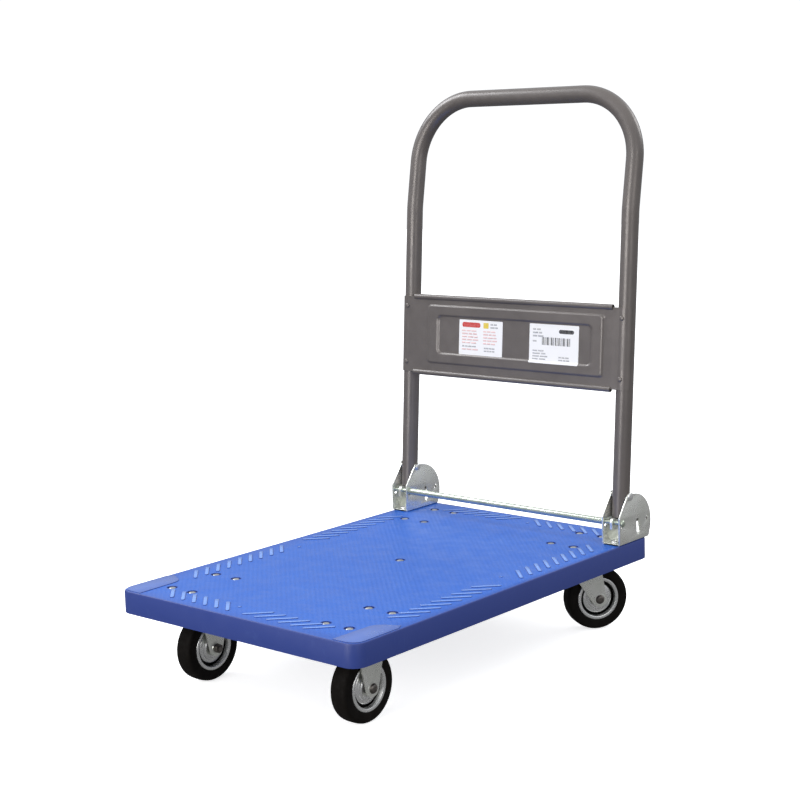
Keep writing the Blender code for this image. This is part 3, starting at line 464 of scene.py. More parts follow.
def sheet(outlines, thickness, bevel=0.4 * MM, segments=2):
    """A flat plate on XY centred on Z = 0, with eased edges; the outlines after the first are holes."""
    curve = bpy.data.curves.new("outline", "CURVE")
    curve.dimensions = "2D"
    curve.fill_mode = "BOTH"
    curve.extrude = thickness / 2
    for outline in outlines:
        spline = curve.splines.new("POLY")
        spline.points.add(len(outline) - 1)
        spline.use_cyclic_u = True
        for point, (x, y) in zip(spline.points, outline):
            point.co = (x, y, 0, 1)
    mesh = applied(curve, [])
    bm = bmesh.new()
    bm.from_mesh(mesh)
    bmesh.ops.remove_doubles(bm, verts=bm.verts, dist=1e-6)
    bmesh.ops.recalc_face_normals(bm, faces=bm.faces)
    mesh = from_bmesh(bm)
    return bevelled(mesh, bevel, segments) if bevel else mesh


def in_mm(*points):
    return [(x * MM, y * MM) for x, y in points]


def arc(centre, radius, start, end, steps):
    """Points along an arc; the angles are in degrees."""
    turns = [math.radians(start + (end - start) * i / steps) for i in range(steps + 1)]
    return [(centre[0] + radius * math.cos(a), centre[1] + radius * math.sin(a)) for a in turns]


def circle(centre, radius, steps=32):
    return arc(centre, radius, 0, 360, steps)[:-1]


def slot_outline(start, end, radius, end_radius=None, steps=12):
    end_radius = end_radius or radius
    angle = math.degrees(math.atan2(end[1] - start[1], end[0] - start[0]))
    near = arc(start, radius, angle + 90, angle + 270, steps)
    return near + arc(end, end_radius, angle - 90, angle + 90, steps)


def rounded_rectangle(half_x, half_y, corner, steps=6, centre=(0, 0)):
    centres = [(half_x - corner, half_y - corner), (corner - half_x, half_y - corner),
               (corner - half_x, corner - half_y), (half_x - corner, corner - half_y)]
    points = [p for i, c in enumerate(centres) for p in arc(c, corner, 90 * i, 90 * i + 90, steps)]
    return [(x + centre[0], y + centre[1]) for x, y in points]


def rounded_path(points, radii, steps):
    """A path whose inner points are replaced by arcs of the given radii."""
    path = [points[0]]
    for before, corner, after, radius, count in zip(points, points[1:], points[2:], radii, steps):
        to_before, to_after = (before - corner).normalized(), (after - corner).normalized()
        half = to_before.angle(to_after) / 2
        centre = corner + (to_before + to_after).normalized() * (radius / math.sin(half))
        tangent = radius / math.tan(half)
        start = corner + to_before * tangent - centre
        end = corner + to_after * tangent - centre
        path += [centre + start.slerp(end, i / count).normalized() * radius for i in range(count + 1)]
    return path + [points[-1]]


def facing_x(sign):
    """Turns a shape made along Z so that it looks along X, towards the given side."""
    return Matrix.Rotation(sign * math.pi / 2, 4, "Y")


def folded_section(centre, fold, thickness, turn, lift=0.0):
    """The section of a sheet with both edges folded: out along the outside and back along the inside."""
    outer = arc(centre, fold, 0, turn, 6)
    inner = [(x, z + lift) for x, z in arc(centre, fold - thickness, 0, turn, 6)]
    return outer + [(-x, z) for x, z in reversed(outer)] + [(-x, z) for x, z in inner] + inner[::-1]


def upright(x):
    """Turns a plate drawn on XY so that its X runs along +Y, its Y up, and its thickness across."""
    return Matrix(((0, 0, 1, x), (1, 0, 0, 0), (0, 1, 0, 0), (0, 0, 0, 1)))


def domed_head(radius, rise, seat=0.0, skirt=0.6 * MM, steps=8):
    """The profile of a domed head from its crown down to the seat."""
    turns = [math.pi / 2 * i / steps for i in range(steps + 1)]
    return [(radius * math.sin(a), seat + skirt + rise * math.cos(a)) for a in turns] + [(radius, seat)]


def hex_nut(across, thickness, bore):
    """A hexagon nut on Z from 0 to its thickness, with chamfered corners."""
    outline = circle((0, 0), across / 2 / math.cos(math.pi / 6), 6)
    mesh = sheet([outline, circle((0, 0), bore, 24)], thickness, 0.7 * MM, 2)
    mesh.transform(Matrix.Translation((0, 0, thickness / 2)))
    return mesh


def coil(radius, wire, height, turns, per_turn=20):
    """A compression spring on Z with closed end turns."""
    points = []
    for i in range(turns * per_turn + 1):
        share = i / (turns * per_turn)
        eased = 0.5 - 0.5 * math.cos(math.pi * share)
        z = wire + (height - 2 * wire) * (0.75 * share + 0.25 * eased)
        a = 2 * math.pi * turns * share
        points.append((radius * math.cos(a), radius * math.sin(a), z))
    return swept(points, wire, 10)


# ---- Deck ----

def on_deck(x, y, z=0.0):
    """A point given from the middle of the loading face."""
    return Vector((x, DECK_Y + y, DECK_TOP + z))


def cad_finish(node, material):
    """Gives a CAD node that stays in view its finish."""
    obj = frame["nodes"][node]
    obj.data.materials.clear()
    obj.data.materials.append(material)
    for polygon in obj.data.polygons:
        polygon.use_smooth = True
    weld = obj.modifiers.new("weld", "WELD")
    weld.merge_threshold = 1e-6
    split = obj.modifiers.new("edges", "EDGE_SPLIT")
    split.split_angle = math.radians(30)


def grip_bar(centre, direction):
    """One anti-slip bar: a low rounded ridge lying along a diagonal."""
    half = BAR_REACH * math.sqrt(2)
    mesh = sheet([slot_outline((-half, 0), (half, 0), 3 * MM, steps=6)], 2 * BAR_RISE, 0.8 * MM, 3)
    mesh.transform(Matrix.Translation(on_deck(*centre)) @ Matrix.Rotation(math.radians(direction), 4, "Z"))
    return mesh


def grip_dot(x, y):
    mesh = turned(domed_head(3 * MM, BAR_RISE - 0.2 * MM, skirt=0.1 * MM, steps=5), 24)
    mesh.transform(Matrix.Translation(on_deck(x, y, 0.05 * MM)))
    return mesh


def make_grip_relief():
    """Rows of diagonal bars along the four edges: each half row leans its own way, with a dot between."""
    bars, dots = [], []
    side_x, end_y = HALF_WIDTH - SIDE_ROW, HALF_LENGTH - END_ROW
    for i in range(SIDE_BARS):
        along = 47 * MM + i * BAR_PITCH
        for sign in (-1, 1):
            bars.append(((sign * side_x, sign * along), -45))
            bars.append(((sign * side_x, -sign * (along - 12 * MM)), 45))
    for i in range(END_BARS):
        along = 36 * MM + i * BAR_PITCH
        for sign in (-1, 1):
            bars.append(((sign * along, sign * end_y), -45))
            bars.append(((-sign * (along - 10 * MM), sign * end_y), 45))
    for sign in (-1, 1):
        dots.append((sign * (side_x - 14 * MM), sign * 20 * MM))
        dots.append((sign * 20 * MM, sign * (end_y - 8 * MM)))
    meshes = [grip_bar(centre, direction) for centre, direction in bars] + [grip_dot(x, y) for x, y in dots]
    # The bars' lighter blue is painted sheen.
    piece("deck_grip_bars", joined(meshes), BLUE_PAINTED_SHEEN, "chassis")


def make_corner_pads():
    """Smooth raised strips along the sides at the two front corners, with a rounded inner end."""
    outer, inner = HALF_WIDTH - 3.5 * MM, HALF_WIDTH - 43 * MM
    front, back = 3.5 * MM - HALF_LENGTH, 104 * MM - HALF_LENGTH
    corner, inner_corner = 19 * MM, 24 * MM
    outline = arc((outer - corner, front + corner), corner, -90, 0, 10)
    outline += [(outer, back - 12 * MM), (outer - 6 * MM, back)]
    outline += arc((inner + inner_corner, back - inner_corner - 8 * MM), inner_corner, 100, 180, 10)
    outline += [(inner - 2 * MM, front)]
    at = Matrix.Translation(on_deck(0, 0))
    for side, sign in SIDES.items():
        points = outline if sign > 0 else [(-x, y) for x, y in reversed(outline)]
        mesh = sheet([points], 1.6 * MM, 0.6 * MM, 3)
        piece(f"deck_pad_{side}", mesh, BLUE_SATIN, "chassis", at)


def bolt_places():
    """Where the centre bolt and each caster's four bolts stand, from the middle of the loading face."""
    places = {"centre_bolt": (0, CENTRE_BOLT_Y)}
    for side, sign in SIDES.items():
        for end, joint in (("front", f"front_{side}_spin"), ("rear", f"rear_{side}_swivel_turn")):
            x, y, _ = JOINTS[joint]["pos_m"]
            for i, across in ((-1, "inner"), (1, "outer")):
                for j, along in ((-1, "front"), (1, "back")):
                    name = f"deck_bolt_{end}_{side}_{along}_{across}"
                    places[name] = (x + sign * i * BOLT_PITCH_X / 2, y - DECK_Y + j * PITCH_Y[end] / 2)
    return places


def make_deck_bolts():
    """Domed bolts in their recesses, a moulded ring round each, and a nut below."""
    shank, nut_thickness = 3.1 * MM, 4.6 * MM
    bolt = domed_head(5.9 * MM, 2.3 * MM, -RECESS_DEPTH, 0.4 * MM)
    bolt += [(shank, -RECESS_DEPTH), (shank, -BOLT_LENGTH), (0, -BOLT_LENGTH)]
    ring = in_mm((7.9, 0), (8.6, 0.15), (8.9, 0), (8.4, -0.4), (7.9, -0.3))
    for name, (x, y) in bolt_places().items():
        at = Matrix.Translation(on_deck(x, y))
        piece(name, turned(bolt, 32), ZINC_DULL, "chassis", at)
        piece(f"{name}_rim", turned(ring, 32, closed=True), BLUE, "chassis", at)
        top = CENTRE_NUT_TOP if name == "centre_bolt" else SEAT_DEPTH + PLATE
        nut_at = Matrix.Translation(on_deck(x, y, -top - nut_thickness - 0.1 * MM))
        nut = hex_nut(10 * MM, nut_thickness, 3.2 * MM)
        piece(f"{name}_nut", nut, ZINC_BRIGHT, "chassis", nut_at)


# ---- Casters ----

def wheel_frame(name):
    """The wheel's own axes: Z along its axle, X up."""
    joint = JOINTS[f"{name}_spin"]
    axis = Vector(joint["axis"]).normalized()
    up = Vector((0, 0, 1))
    turn = Matrix((up, axis.cross(up), axis)).transposed().to_4x4()
    return Matrix.Translation(Vector(joint["pos_m"])) @ turn


def caster_frame(name):
    """The caster's own axes: X along its axle, Z up, at ground level under its plate."""
    joint = JOINTS[f"{name}_spin"]
    axis = Vector(joint["axis"]).normalized()
    key = f"{name}_swivel_turn"
    place = Vector(JOINTS[key]["pos_m"] if key in JOINTS else joint["pos_m"])
    place.z = 0
    up = Vector((0, 0, 1))
    turn = Matrix((axis, up.cross(axis), up)).transposed().to_4x4()
    return Matrix.Translation(place) @ turn


def tyre_profile(radius, width, rim):
    """Closed section of the tyre: round-shouldered tread, flat walls and a bead step by the rim."""
    half = width / 2
    bead = in_mm((-2.1, -1.2), (0.7, -1.2), (1.2, -0.5), (3.4, -0.1), (6, 0))
    side = [(rim + r, half + z) for r, z in bead] + [(radius - 8 * MM, half - 0.2 * MM)]
    shoulder = 5.2 * MM
    side += reversed(arc((radius - shoulder - 0.6 * MM, half - shoulder - 0.4 * MM), shoulder, 12, 82, 6))
    side += [(radius - 0.15 * MM, half - 8 * MM), (radius, 3 * MM)]
    return side + [(r, -z) for r, z in reversed(side)]


def rim_profile(radius, width, bore):
    """Closed section of the pressed rim: rolled flange, deep groove, stepped disc and hub boss."""
    half = width / 2
    flange = [(radius - 2.4 * MM, half - 1.2 * MM), (radius - 0.2 * MM, half - 1.2 * MM)]
    flange += arc((radius - 1.6 * MM, half - 1.1 * MM), 1.6 * MM, 0, 80, 6)
    flange += arc((radius - 4 * MM, half - 1.1 * MM), 1.4 * MM, 95, 180, 5)
    groove = [(radius - GROOVE_OUT, 8 * MM), (radius - 7 * MM, 4.6 * MM), (radius - 9.4 * MM, 4.6 * MM),
              (radius - GROOVE_IN, 7 * MM), (radius - 10.8 * MM, 9.4 * MM), (radius - 12 * MM, 10.4 * MM)]
    disc = in_mm((21, 10.6), (19.8, 11), (19.2, 12), (17, 12.3), (16.2, 12.8), (15.4, 14))
    boss = [(bore + 1.2 * MM, 14 * MM), (bore, 13.4 * MM)]
    side = flange + groove + disc + boss
    return side + [(r, -z) for r, z in reversed(side)]


def paint_groove_shade(mesh, radius):
    """The groove between flange and disc gets a near-black colour: painted shade in its depth."""
    mesh.materials.append(ZINC_BRIGHT)
    mesh.materials.append(GROOVE_PAINTED_SHADE)
    for face in mesh.polygons:
        distance = math.hypot(face.center.x, face.center.y)
        if radius - GROOVE_IN < distance < radius - GROOVE_OUT + 0.7 * MM and abs(face.center.z) < 9 * MM:
            face.material_index = 1


def make_wheel(name):
    """A tyre and its pressed rim."""
    low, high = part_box(f"{name}_tyre")
    body, matrix = f"{name}_wheel", wheel_frame(name)
    tyre = turned(tyre_profile((high.z - low.z) / 2, TYRE_WIDTH, RIM_RADIUS), 96, closed=True)
    piece(f"{name}_wheel_tyre", tyre, RUBBER, body, matrix, (f"{name}_tyre",), 50)
    rim = turned(rim_profile(RIM_RADIUS, TYRE_WIDTH, RIM_BORE), 96, closed=True)
    paint_groove_shade(rim, RIM_RADIUS)
    piece(f"{name}_wheel_rim", rim, None, body, matrix, (f"{name}_rim",), 40)


def leg_mesh(outline, hole, offset):
    mesh = sheet([outline, hole], FORK_SHEET, 0.5 * MM, 3)
    mesh.transform(upright(offset))
    return mesh


def folded_crown(half_width, half_length, top):
    """The fork's crown: a sheet across the legs whose long edges are folded down with a radius."""
    section = folded_section((half_width - CROWN_FOLD, top - CROWN_FOLD), CROWN_FOLD, FORK_SHEET, 90)
    mesh = sheet([section], 2 * half_length, 0.4 * MM, 2)
    mesh.transform(STAND_UP)
    return mesh


def fork_mesh(outline, axle, crown, crown_top):
    """Two pressed legs with a raised ring round each eye, and the folded crown between them."""
    half = FORK_INSIDE / 2 + FORK_SHEET / 2
    hole = circle(axle, AXLE_RADIUS + 0.3 * MM, 24)
    parts = [leg_mesh(outline, hole, sign * half) for sign in (-1, 1)]
    low, high = crown
    top = folded_crown(FORK_INSIDE / 2 + FORK_SHEET, (high - low) / 2, crown_top)
    top.transform(Matrix.Translation((0, (low + high) / 2, 0)))
    parts.append(top)
    boss = in_mm((6.2, 0), (9.6, 0), (9.2, 0.7), (6.8, 0.9), (6.2, 0.6))
    for sign in (-1, 1):
        ring = turned(boss, 40, closed=True)
        ring.transform(Matrix.Translation((sign * (half + FORK_SHEET / 2), *axle)) @ facing_x(sign))
        parts.append(ring)
    return joined(parts)


def plate_mesh(pitch_y, top, bore=None):
    """A caster's top plate with its four bolt holes and, on a swivel caster, the kingpin's bore."""
    holes = [circle((i * BOLT_PITCH_X / 2, j * pitch_y / 2), 3.5 * MM, 20) for i in (-1, 1) for j in (-1, 1)]
    if bore:
        holes.append(circle((0, 0), bore, 32))
    plate = rounded_rectangle(PLATE_WIDTH / 2, (pitch_y + BOLT_BAND) / 2, 6 * MM)
    mesh = sheet([plate] + holes, PLATE, 0.5 * MM, 2)
    mesh.transform(Matrix.Translation((0, 0, top - PLATE / 2)))
    return mesh


def make_front_caster(side):
    """A fixed fork and its top plate, in one piece."""
    name = f"front_{side}"
    top = DECK_TOP - SEAT_DEPTH
    axle, shoulder, waist = (0, AXLE_HEIGHT), 30 * MM, top - 14 * MM
    under = top - PLATE - CROWN_FOLD
    outline = [(shoulder, under), (-shoulder, under), (-shoulder + 1 * MM, waist)]
    outline += arc(axle, EYE_RADIUS, 192, 348, 16) + [(shoulder - 1 * MM, waist)]
    fork = fork_mesh(outline, axle, (-shoulder, shoulder), top - PLATE)
    shell = joined([fork, plate_mesh(PITCH_Y["front"], top)])
    piece(f"{name}_fork_shell", shell, ZINC_SHEET, "chassis", caster_frame(name), (f"{name}_fork",))
    make_axle(name, axle, "chassis")


def make_rear_caster(side):
    """A swivel fork under its fixed top plate and bearing race."""
    name = f"rear_{side}"
    body = f"{name}_swivel"
    top = DECK_TOP - SEAT_DEPTH
    race_top = top - PLATE - 0.3 * MM
    crown_top = race_top - RACE_HEIGHT - 0.3 * MM
    under = crown_top - CROWN_FOLD
    axle, back = (TRAIL, AXLE_HEIGHT), 34 * MM
    outline = [(back, under), (-RACE_RADIUS, under), (-RACE_RADIUS + 2 * MM, crown_top - 8 * MM)]
    outline += arc(axle, EYE_RADIUS, 205, 352, 16) + [(back, crown_top - 10 * MM)]
    fork = fork_mesh(outline, axle, (-RACE_RADIUS, back), crown_top)
    piece(f"{name}_fork_shell", fork, ZINC_SHEET, body, caster_frame(name), (f"{name}_fork",))
    make_axle(name, axle, body)

    place = Vector(JOINTS[f"{name}_swivel_turn"]["pos_m"])
    place.z = 0
    at = Matrix.Translation(place)
    bore = 6.3 * MM
    plate = plate_mesh(PITCH_Y["rear"], top, bore)
    piece(f"{name}_mounting_plate", plate, ZINC_SHEET, "chassis", at, (f"{name}_top_plate",))
    low = race_top - RACE_HEIGHT
    lip = RACE_RADIUS + 1.5 * MM
    race = [(bore, race_top), (RACE_RADIUS - 2 * MM, race_top)]
    race += arc((RACE_RADIUS - 2 * MM, race_top - 2 * MM), 2 * MM, 80, 0, 4)
    race += [(RACE_RADIUS, low + 3.4 * MM), (lip, low + 2.6 * MM), (lip, low), (bore, low)]
    piece(f"{name}_bearing_race", turned(race, 64, closed=True), ZINC_BRIGHT, "chassis", at,
          (f"{name}_race",))


def make_axle(name, axle, body):
    """The axle bolt with a dark round head on the outer leg, and a chamfered nut on the inner one."""
    outward = 1 if "right" in name else -1
    matrix = caster_frame(name) @ Matrix.Translation((0, *axle)) @ facing_x(outward)
    leg = FORK_INSIDE / 2 + FORK_SHEET + 0.3 * MM
    head = in_mm((0, 3.1), (2.6, 3.1), (3.0, 4), (4.9, 3.9), (6.2, 3.1), (7.2, 1.6), (7.6, 0.8), (7.6, 0))
    profile = [(radius, leg + z) for radius, z in head] + [(AXLE_RADIUS, leg)]
    profile += [(AXLE_RADIUS, -leg - 7.2 * MM), (3.4 * MM, -leg - 7.5 * MM), (0, -leg - 7.5 * MM)]
    piece(f"{name}_axle_bolt", turned(profile, 40), DARK, body, matrix, (f"{name}_axle",))
    nut = hex_nut(13 * MM, 6 * MM, AXLE_RADIUS + 0.2 * MM)
    nut.transform(Matrix.Translation((0, 0, -leg - 6 * MM)))
    piece(f"{name}_lock_nut", nut, DARK, body, matrix, (f"{name}_axle_nut",))


# ---- Handle ----

def handle_path():
    """The tube's middle line: up a post, round the two grip bends and down the other post."""
    up = Vector((0, math.sin(POST_LEAN), math.cos(POST_LEAN)))
    foot = -up * STUB
    kink = up * (KINK_HEIGHT / up.z)
    reach = GRIP_HEIGHT - KINK_HEIGHT
    grip = kink + Vector((0, reach * math.tan(GRIP_LEAN), reach))
    across = Vector((POST_X, 0, 0))
    corners = [foot - across, kink - across, grip - across, grip + across, kink + across, foot + across]
    path = rounded_path(corners, (KINK_BEND, GRIP_BEND, GRIP_BEND, KINK_BEND), (6, 24, 24, 6))
    return [PIVOT + p for p in path]


def make_tube():
    """The bent tube with its wall showing at the two feet."""
    path = handle_path()
    outer = swept(path, TUBE_RADIUS, 40, capped=False)
    mesh = applied(outer, [("SOLIDIFY", {"thickness": TUBE_WALL, "offset": -1})])
    piece("handle_bent_tube", mesh, PAINT, "handle", None, ("handle_tube",), 60)


def eased(value, start, end):
    """0 before start, 1 after end, and a smooth step between."""
    t = min(max((value - start) / (end - start), 0), 1)
    return t * t * (3 - 2 * t)


def inside_rounded(x, z, half_x, half_z, corner):
    """Signed distance to a rounded rectangle: negative inside."""
    dx, dz = abs(x) - half_x + corner, abs(z) - half_z + corner
    return math.hypot(max(dx, 0), max(dz, 0)) + min(max(dx, dz), 0) - corner


def panel_depth(x, z):
    """How far the pressed frame stands in front of the panel's plane."""
    x, z = x - FRAME_SHIFT[0], z - FRAME_SHIFT[1]
    outer = inside_rounded(x, z, *FRAME_OUTER, FRAME_CORNER)
    inner = inside_rounded(x, z, *FRAME_INNER, FRAME_CORNER)
    return FRAME_RISE * eased(-outer, 0, FRAME_SLOPE) * eased(inner, 0, FRAME_SLOPE)


def make_panel():
    """Pressed sheet wrapped round both posts, with the raised frame and rolled hems."""
    middle, half = (PANEL_LOW + PANEL_HIGH) / 2, (PANEL_HIGH - PANEL_LOW) / 2
    wrap = PANEL_FACE - PANEL_SHEET / 2
    across, up = PANEL_CELLS
    columns = [PANEL_FLAT * (2 * i / across - 1) for i in range(across + 1)]
    flap = [POST_X + wrap * math.sin(math.radians(a)) for a in range(-20, 62, 5)]
    flap = [x for x in flap if x > PANEL_FLAT + 1 * MM]
    columns = [-x for x in reversed(flap)] + columns + flap
    rows = [half * (2 * j / up - 1) for j in range(up + 1)]
    blend_start = POST_X - 8 * MM
    bm = bmesh.new()
    grid = []
    for z in rows:
        line = []
        for x in columns:
            depth = -wrap - panel_depth(x, z)
            if abs(x) > blend_start:
                round_post = -math.sqrt(max(wrap ** 2 - (abs(x) - POST_X) ** 2, 0))
                depth = depth + (round_post - depth) * eased(abs(x), blend_start, POST_X)
            line.append(bm.verts.new((x, depth, middle + z)))
        grid.append(line)
    for below, above in zip(grid, grid[1:]):
        for i in range(len(columns) - 1):
            bm.faces.new((below[i], below[i + 1], above[i + 1], above[i]))
    parts = [applied(from_bmesh(bm), [("SOLIDIFY", {"thickness": PANEL_SHEET, "offset": 0})])]

    inside, chamfer, end = HEM_RADIUS - 1.3 * MM, 0.3 * MM, HEM_LENGTH / 2
    half_hem = [(HEM_RADIUS, end - chamfer), (HEM_RADIUS - chamfer, end), (inside, end)]
    hem = [(r, -x) for r, x in reversed(half_hem)] + half_hem
    for z in (PANEL_LOW, PANEL_HIGH):
        tube = turned(hem, 28, closed=True)
        tube.transform(Matrix.Translation((0, HEM_Y, z)) @ TO_X)
        parts.append(tube)
    piece("handle_pressed_panel", joined(parts), PAINT, "handle", HANDLE, ("handle_panel",), 40)


def make_rivets():
    profile = domed_head(4.1 * MM, 1.5 * MM, PANEL_FACE, 0.3 * MM) + [(0, PANEL_FACE)]
    heights = {"lower": PANEL_LOW + RIVET_INSET, "upper": PANEL_HIGH - RIVET_INSET}
    for side, sign in SIDES.items():
        for row, z in heights.items():
            matrix = HANDLE @ Matrix.Translation((sign * POST_X, 0, z)) @ Matrix.Rotation(math.pi / 2, 4, "X")
            piece(f"panel_rivet_head_{side}_{row}", turned(profile, 28), PAINT, "handle", matrix,
                  (f"panel_rivet_{side}_{row}",))


def patch(outline, lift):
    """One flat shape as a grid of small faces, so that it can follow the pressed sheet below it."""
    mesh = sheet([outline], 0, 0)
    bm = bmesh.new()
    bm.from_mesh(mesh)
    for axis in (0, 1):
        values = [v.co[axis] for v in bm.verts]
        normal = Vector((1, 0, 0)) if axis == 0 else Vector((0, 1, 0))
        cut = math.ceil(min(values) / LABEL_STEP) * LABEL_STEP
        while cut < max(values):
            everything = bm.verts[:] + bm.edges[:] + bm.faces[:]
            bmesh.ops.bisect_plane(bm, geom=everything, plane_co=normal * cut, plane_no=normal, dist=1e-6)
            cut += LABEL_STEP
    for vert in bm.verts:
        vert.co.z = lift
    for face in bm.faces:
        if face.normal.z < 0:
            face.normal_flip()
    return from_bmesh(bm)


def box_outline(x, y, width, height):
    return [(x, y), (x + width, y), (x + width, y + height), (x, y + height)]


def text_like(x, y, width, rows, pitch, words):
    """Rows of short blocks that read as unreadable small print from afar."""
    shapes = []
    for row in range(rows):
        at = x
        for word in range(words):
            length = width / words * (0.55 + 0.35 * ((row * 7 + word * 5) % 4) / 3)
            if at + length > x + width:
                break
            shapes.append(box_outline(at, y - row * pitch, length, 0.5 * pitch))
            at += length + 0.12 * width / words
    return shapes


def make_label(side, layout, span, heights, node):
    """A sticker pressed onto the panel: satin film with flat ink shapes in several colours."""
    left, right = span
    bottom, top = heights
    width, tall = right - left, top - bottom
    film = patch(rounded_rectangle(width / 2, tall / 2, 1.5 * MM), 0)
    film.materials.append(FILM)
    parts = [film]
    for material, shapes in layout(width, tall):
        for outline in shapes:
            ink = patch(outline, INK_LIFT)
            ink.materials.append(material)
            parts.append(ink)
    mesh = joined(parts)
    middle_x, middle_z = (left + right) / 2, (bottom + top) / 2
    for vert in mesh.vertices:
        vert.co.z += panel_depth(vert.co.x + middle_x, vert.co.y + middle_z)
    place = (middle_x, -PANEL_FACE - LABEL_LIFT, (PANEL_LOW + PANEL_HIGH) / 2 + middle_z)
    matrix = HANDLE @ Matrix.Translation(place) @ STAND_UP
    obj = piece(f"sticker_{side}", mesh, None, "handle", matrix, (node,))
    backing = obj.modifiers.new("film", "SOLIDIFY")
    backing.thickness = 0.03 * MM
    backing.offset = -1


def red_layout(w, h):
    """Ink shapes of the left label, in shares of its width and height."""
    header = rounded_rectangle(0.21 * w, 0.07 * h, 0.06 * h, 4, (-0.22 * w, 0.36 * h))
    block = rounded_rectangle(0.06 * w, 0.08 * h, 0.02 * h, 2, (0.12 * w, 0.36 * h))
    pink = text_like(-0.43 * w, 0.17 * h, 0.44 * w, 5, 0.085 * h, 3)
    pink += text_like(0.06 * w, 0.17 * h, 0.37 * w, 5, 0.085 * h, 3)
    pink += text_like(-0.43 * w, -0.36 * h, 0.5 * w, 1, 0.08 * h, 3)
    grey = text_like(0.22 * w, 0.38 * h, 0.22 * w, 2, 0.09 * h, 2)
    grey += text_like(-0.43 * w, -0.27 * h, 0.4 * w, 1, 0.08 * h, 4)
    grey += text_like(0.08 * w, -0.30 * h, 0.3 * w, 2, 0.08 * h, 4)
    return [(INK_RED, [header]), (INK_YELLOW, [block]), (INK_PINK, pink), (INK_GREY, grey)]


def stripe_layout(w, h):
    """Ink shapes of the right label: a pill, a block of plain stripes and rows of short blocks."""
    pill = rounded_rectangle(0.15 * w, 0.05 * h, 0.046 * h, 4, (0.25 * w, 0.33 * h))
    stripes, at = [], -0.24 * w
    for i in range(22):
        width = (0.006 + 0.007 * ((i * 5) % 3)) * w
        stripes.append(box_outline(at, -0.03 * h, width, 0.2 * h))
        at += width + (0.008 + 0.004 * ((i * 3) % 4)) * w
    grey = text_like(-0.43 * w, 0.34 * h, 0.24 * w, 3, 0.085 * h, 2)
    grey += text_like(-0.43 * w, -0.20 * h, 0.34 * w, 4, 0.07 * h, 2)
    grey += text_like(0.10 * w, -0.34 * h, 0.28 * w, 2, 0.07 * h, 3)
    grey += text_like(-0.43 * w, 0.04 * h, 0.14 * w, 1, 0.08 * h, 1)
    return [(INK_BLACK, [pill] + stripes), (INK_GREY, grey)]


# ---- Brackets and release ----

def bracket_ear(front, foot, top):
    """One ear, drawn along the deck and up: its outline, then its slots and the pivot's hole."""
    outline = [(front + 26 * MM, top)]
    outline += arc((front + 2 * MM, foot + 45 * MM), 2 * MM, 150, 180, 3)
    outline += [(front, foot + BRACKET_FOLD), (front + 87 * MM, foot + BRACKET_FOLD)]
    outline += [(front + 88 * MM, foot + 6 * MM)]
    outline += arc((front + 41.5 * MM, foot + 28 * MM), 51 * MM, -23, 79, 30)
    travel = JOINTS["release_press"]["range_m"][1]
    bar_slot = slot_outline((BAR.y, BAR.z + 0.3 * MM), (BAR.y, BAR.z - travel - 0.3 * MM), 4.1 * MM)
    key_y = front + 53 * MM
    key_high, key_low = (key_y, foot + 34.5 * MM), (key_y + 2 * MM, foot + 15 * MM)
    keyhole = slot_outline(key_high, key_low, 3.2 * MM, 4.6 * MM, 14)
    hook = slot_outline((front + 83 * MM, foot + 35 * MM), (front + 79 * MM, foot + 30 * MM), 2 * MM)
    return [outline, bar_slot, keyhole, hook, circle((PIVOT.y, PIVOT.z), 4.4 * MM, 28)]


def make_bracket(side, sign):
    """A folded channel of two ears and a base with rounded folds, then its pin, pivot and bolts."""
    node = f"bracket_{side}"
    low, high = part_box(node)
    front, foot, top = low.y, low.z, high.z
    half = (high.x - low.x) / 2
    centre_x = (low.x + high.x) / 2
    parts = []
    for face in (-1, 1):
        ear = sheet(bracket_ear(front, foot, top), BRACKET_SHEET, 0.35 * MM, 2)
        ear.transform(upright(centre_x + face * (half - BRACKET_SHEET / 2)))
        parts.append(ear)
    inside = half - BRACKET_FOLD
    base_y = front + BASE_MIDDLE
    section = folded_section((inside, BRACKET_FOLD), BRACKET_FOLD, BRACKET_SHEET, -90, 0.1 * MM)
    channel = sheet([section], BASE_LENGTH, 0.3 * MM, 2)
    channel.transform(Matrix.Translation((centre_x, base_y, foot)) @ STAND_UP)
    parts.append(channel)
    floor = sheet([rounded_rectangle(inside, BASE_LENGTH / 2, 0.5 * MM, 2)], BRACKET_BASE, 0.2 * MM, 1)
    floor.transform(Matrix.Translation((centre_x, base_y, foot + BRACKET_BASE / 2)))
    parts.append(floor)
    piece(f"{node}_channel", joined(parts), ZINC_SHEET, "chassis", None, (node,))

    pin_radius, blunt, end = 1.9 * MM, half - 0.8 * MM, half - 0.6 * MM
    pin = turned([(0, end), (pin_radius, blunt), (pin_radius, -blunt), (0, -end)], 20)
    pin_at = Matrix.Translation((centre_x, front + 81 * MM, foot + 32.5 * MM)) @ TO_X
    piece(f"{node}_spring_anchor", pin, DARK, "chassis", pin_at)
    make_pivot(side, sign, centre_x, half + 0.3 * MM)
    make_bracket_bolts(side)


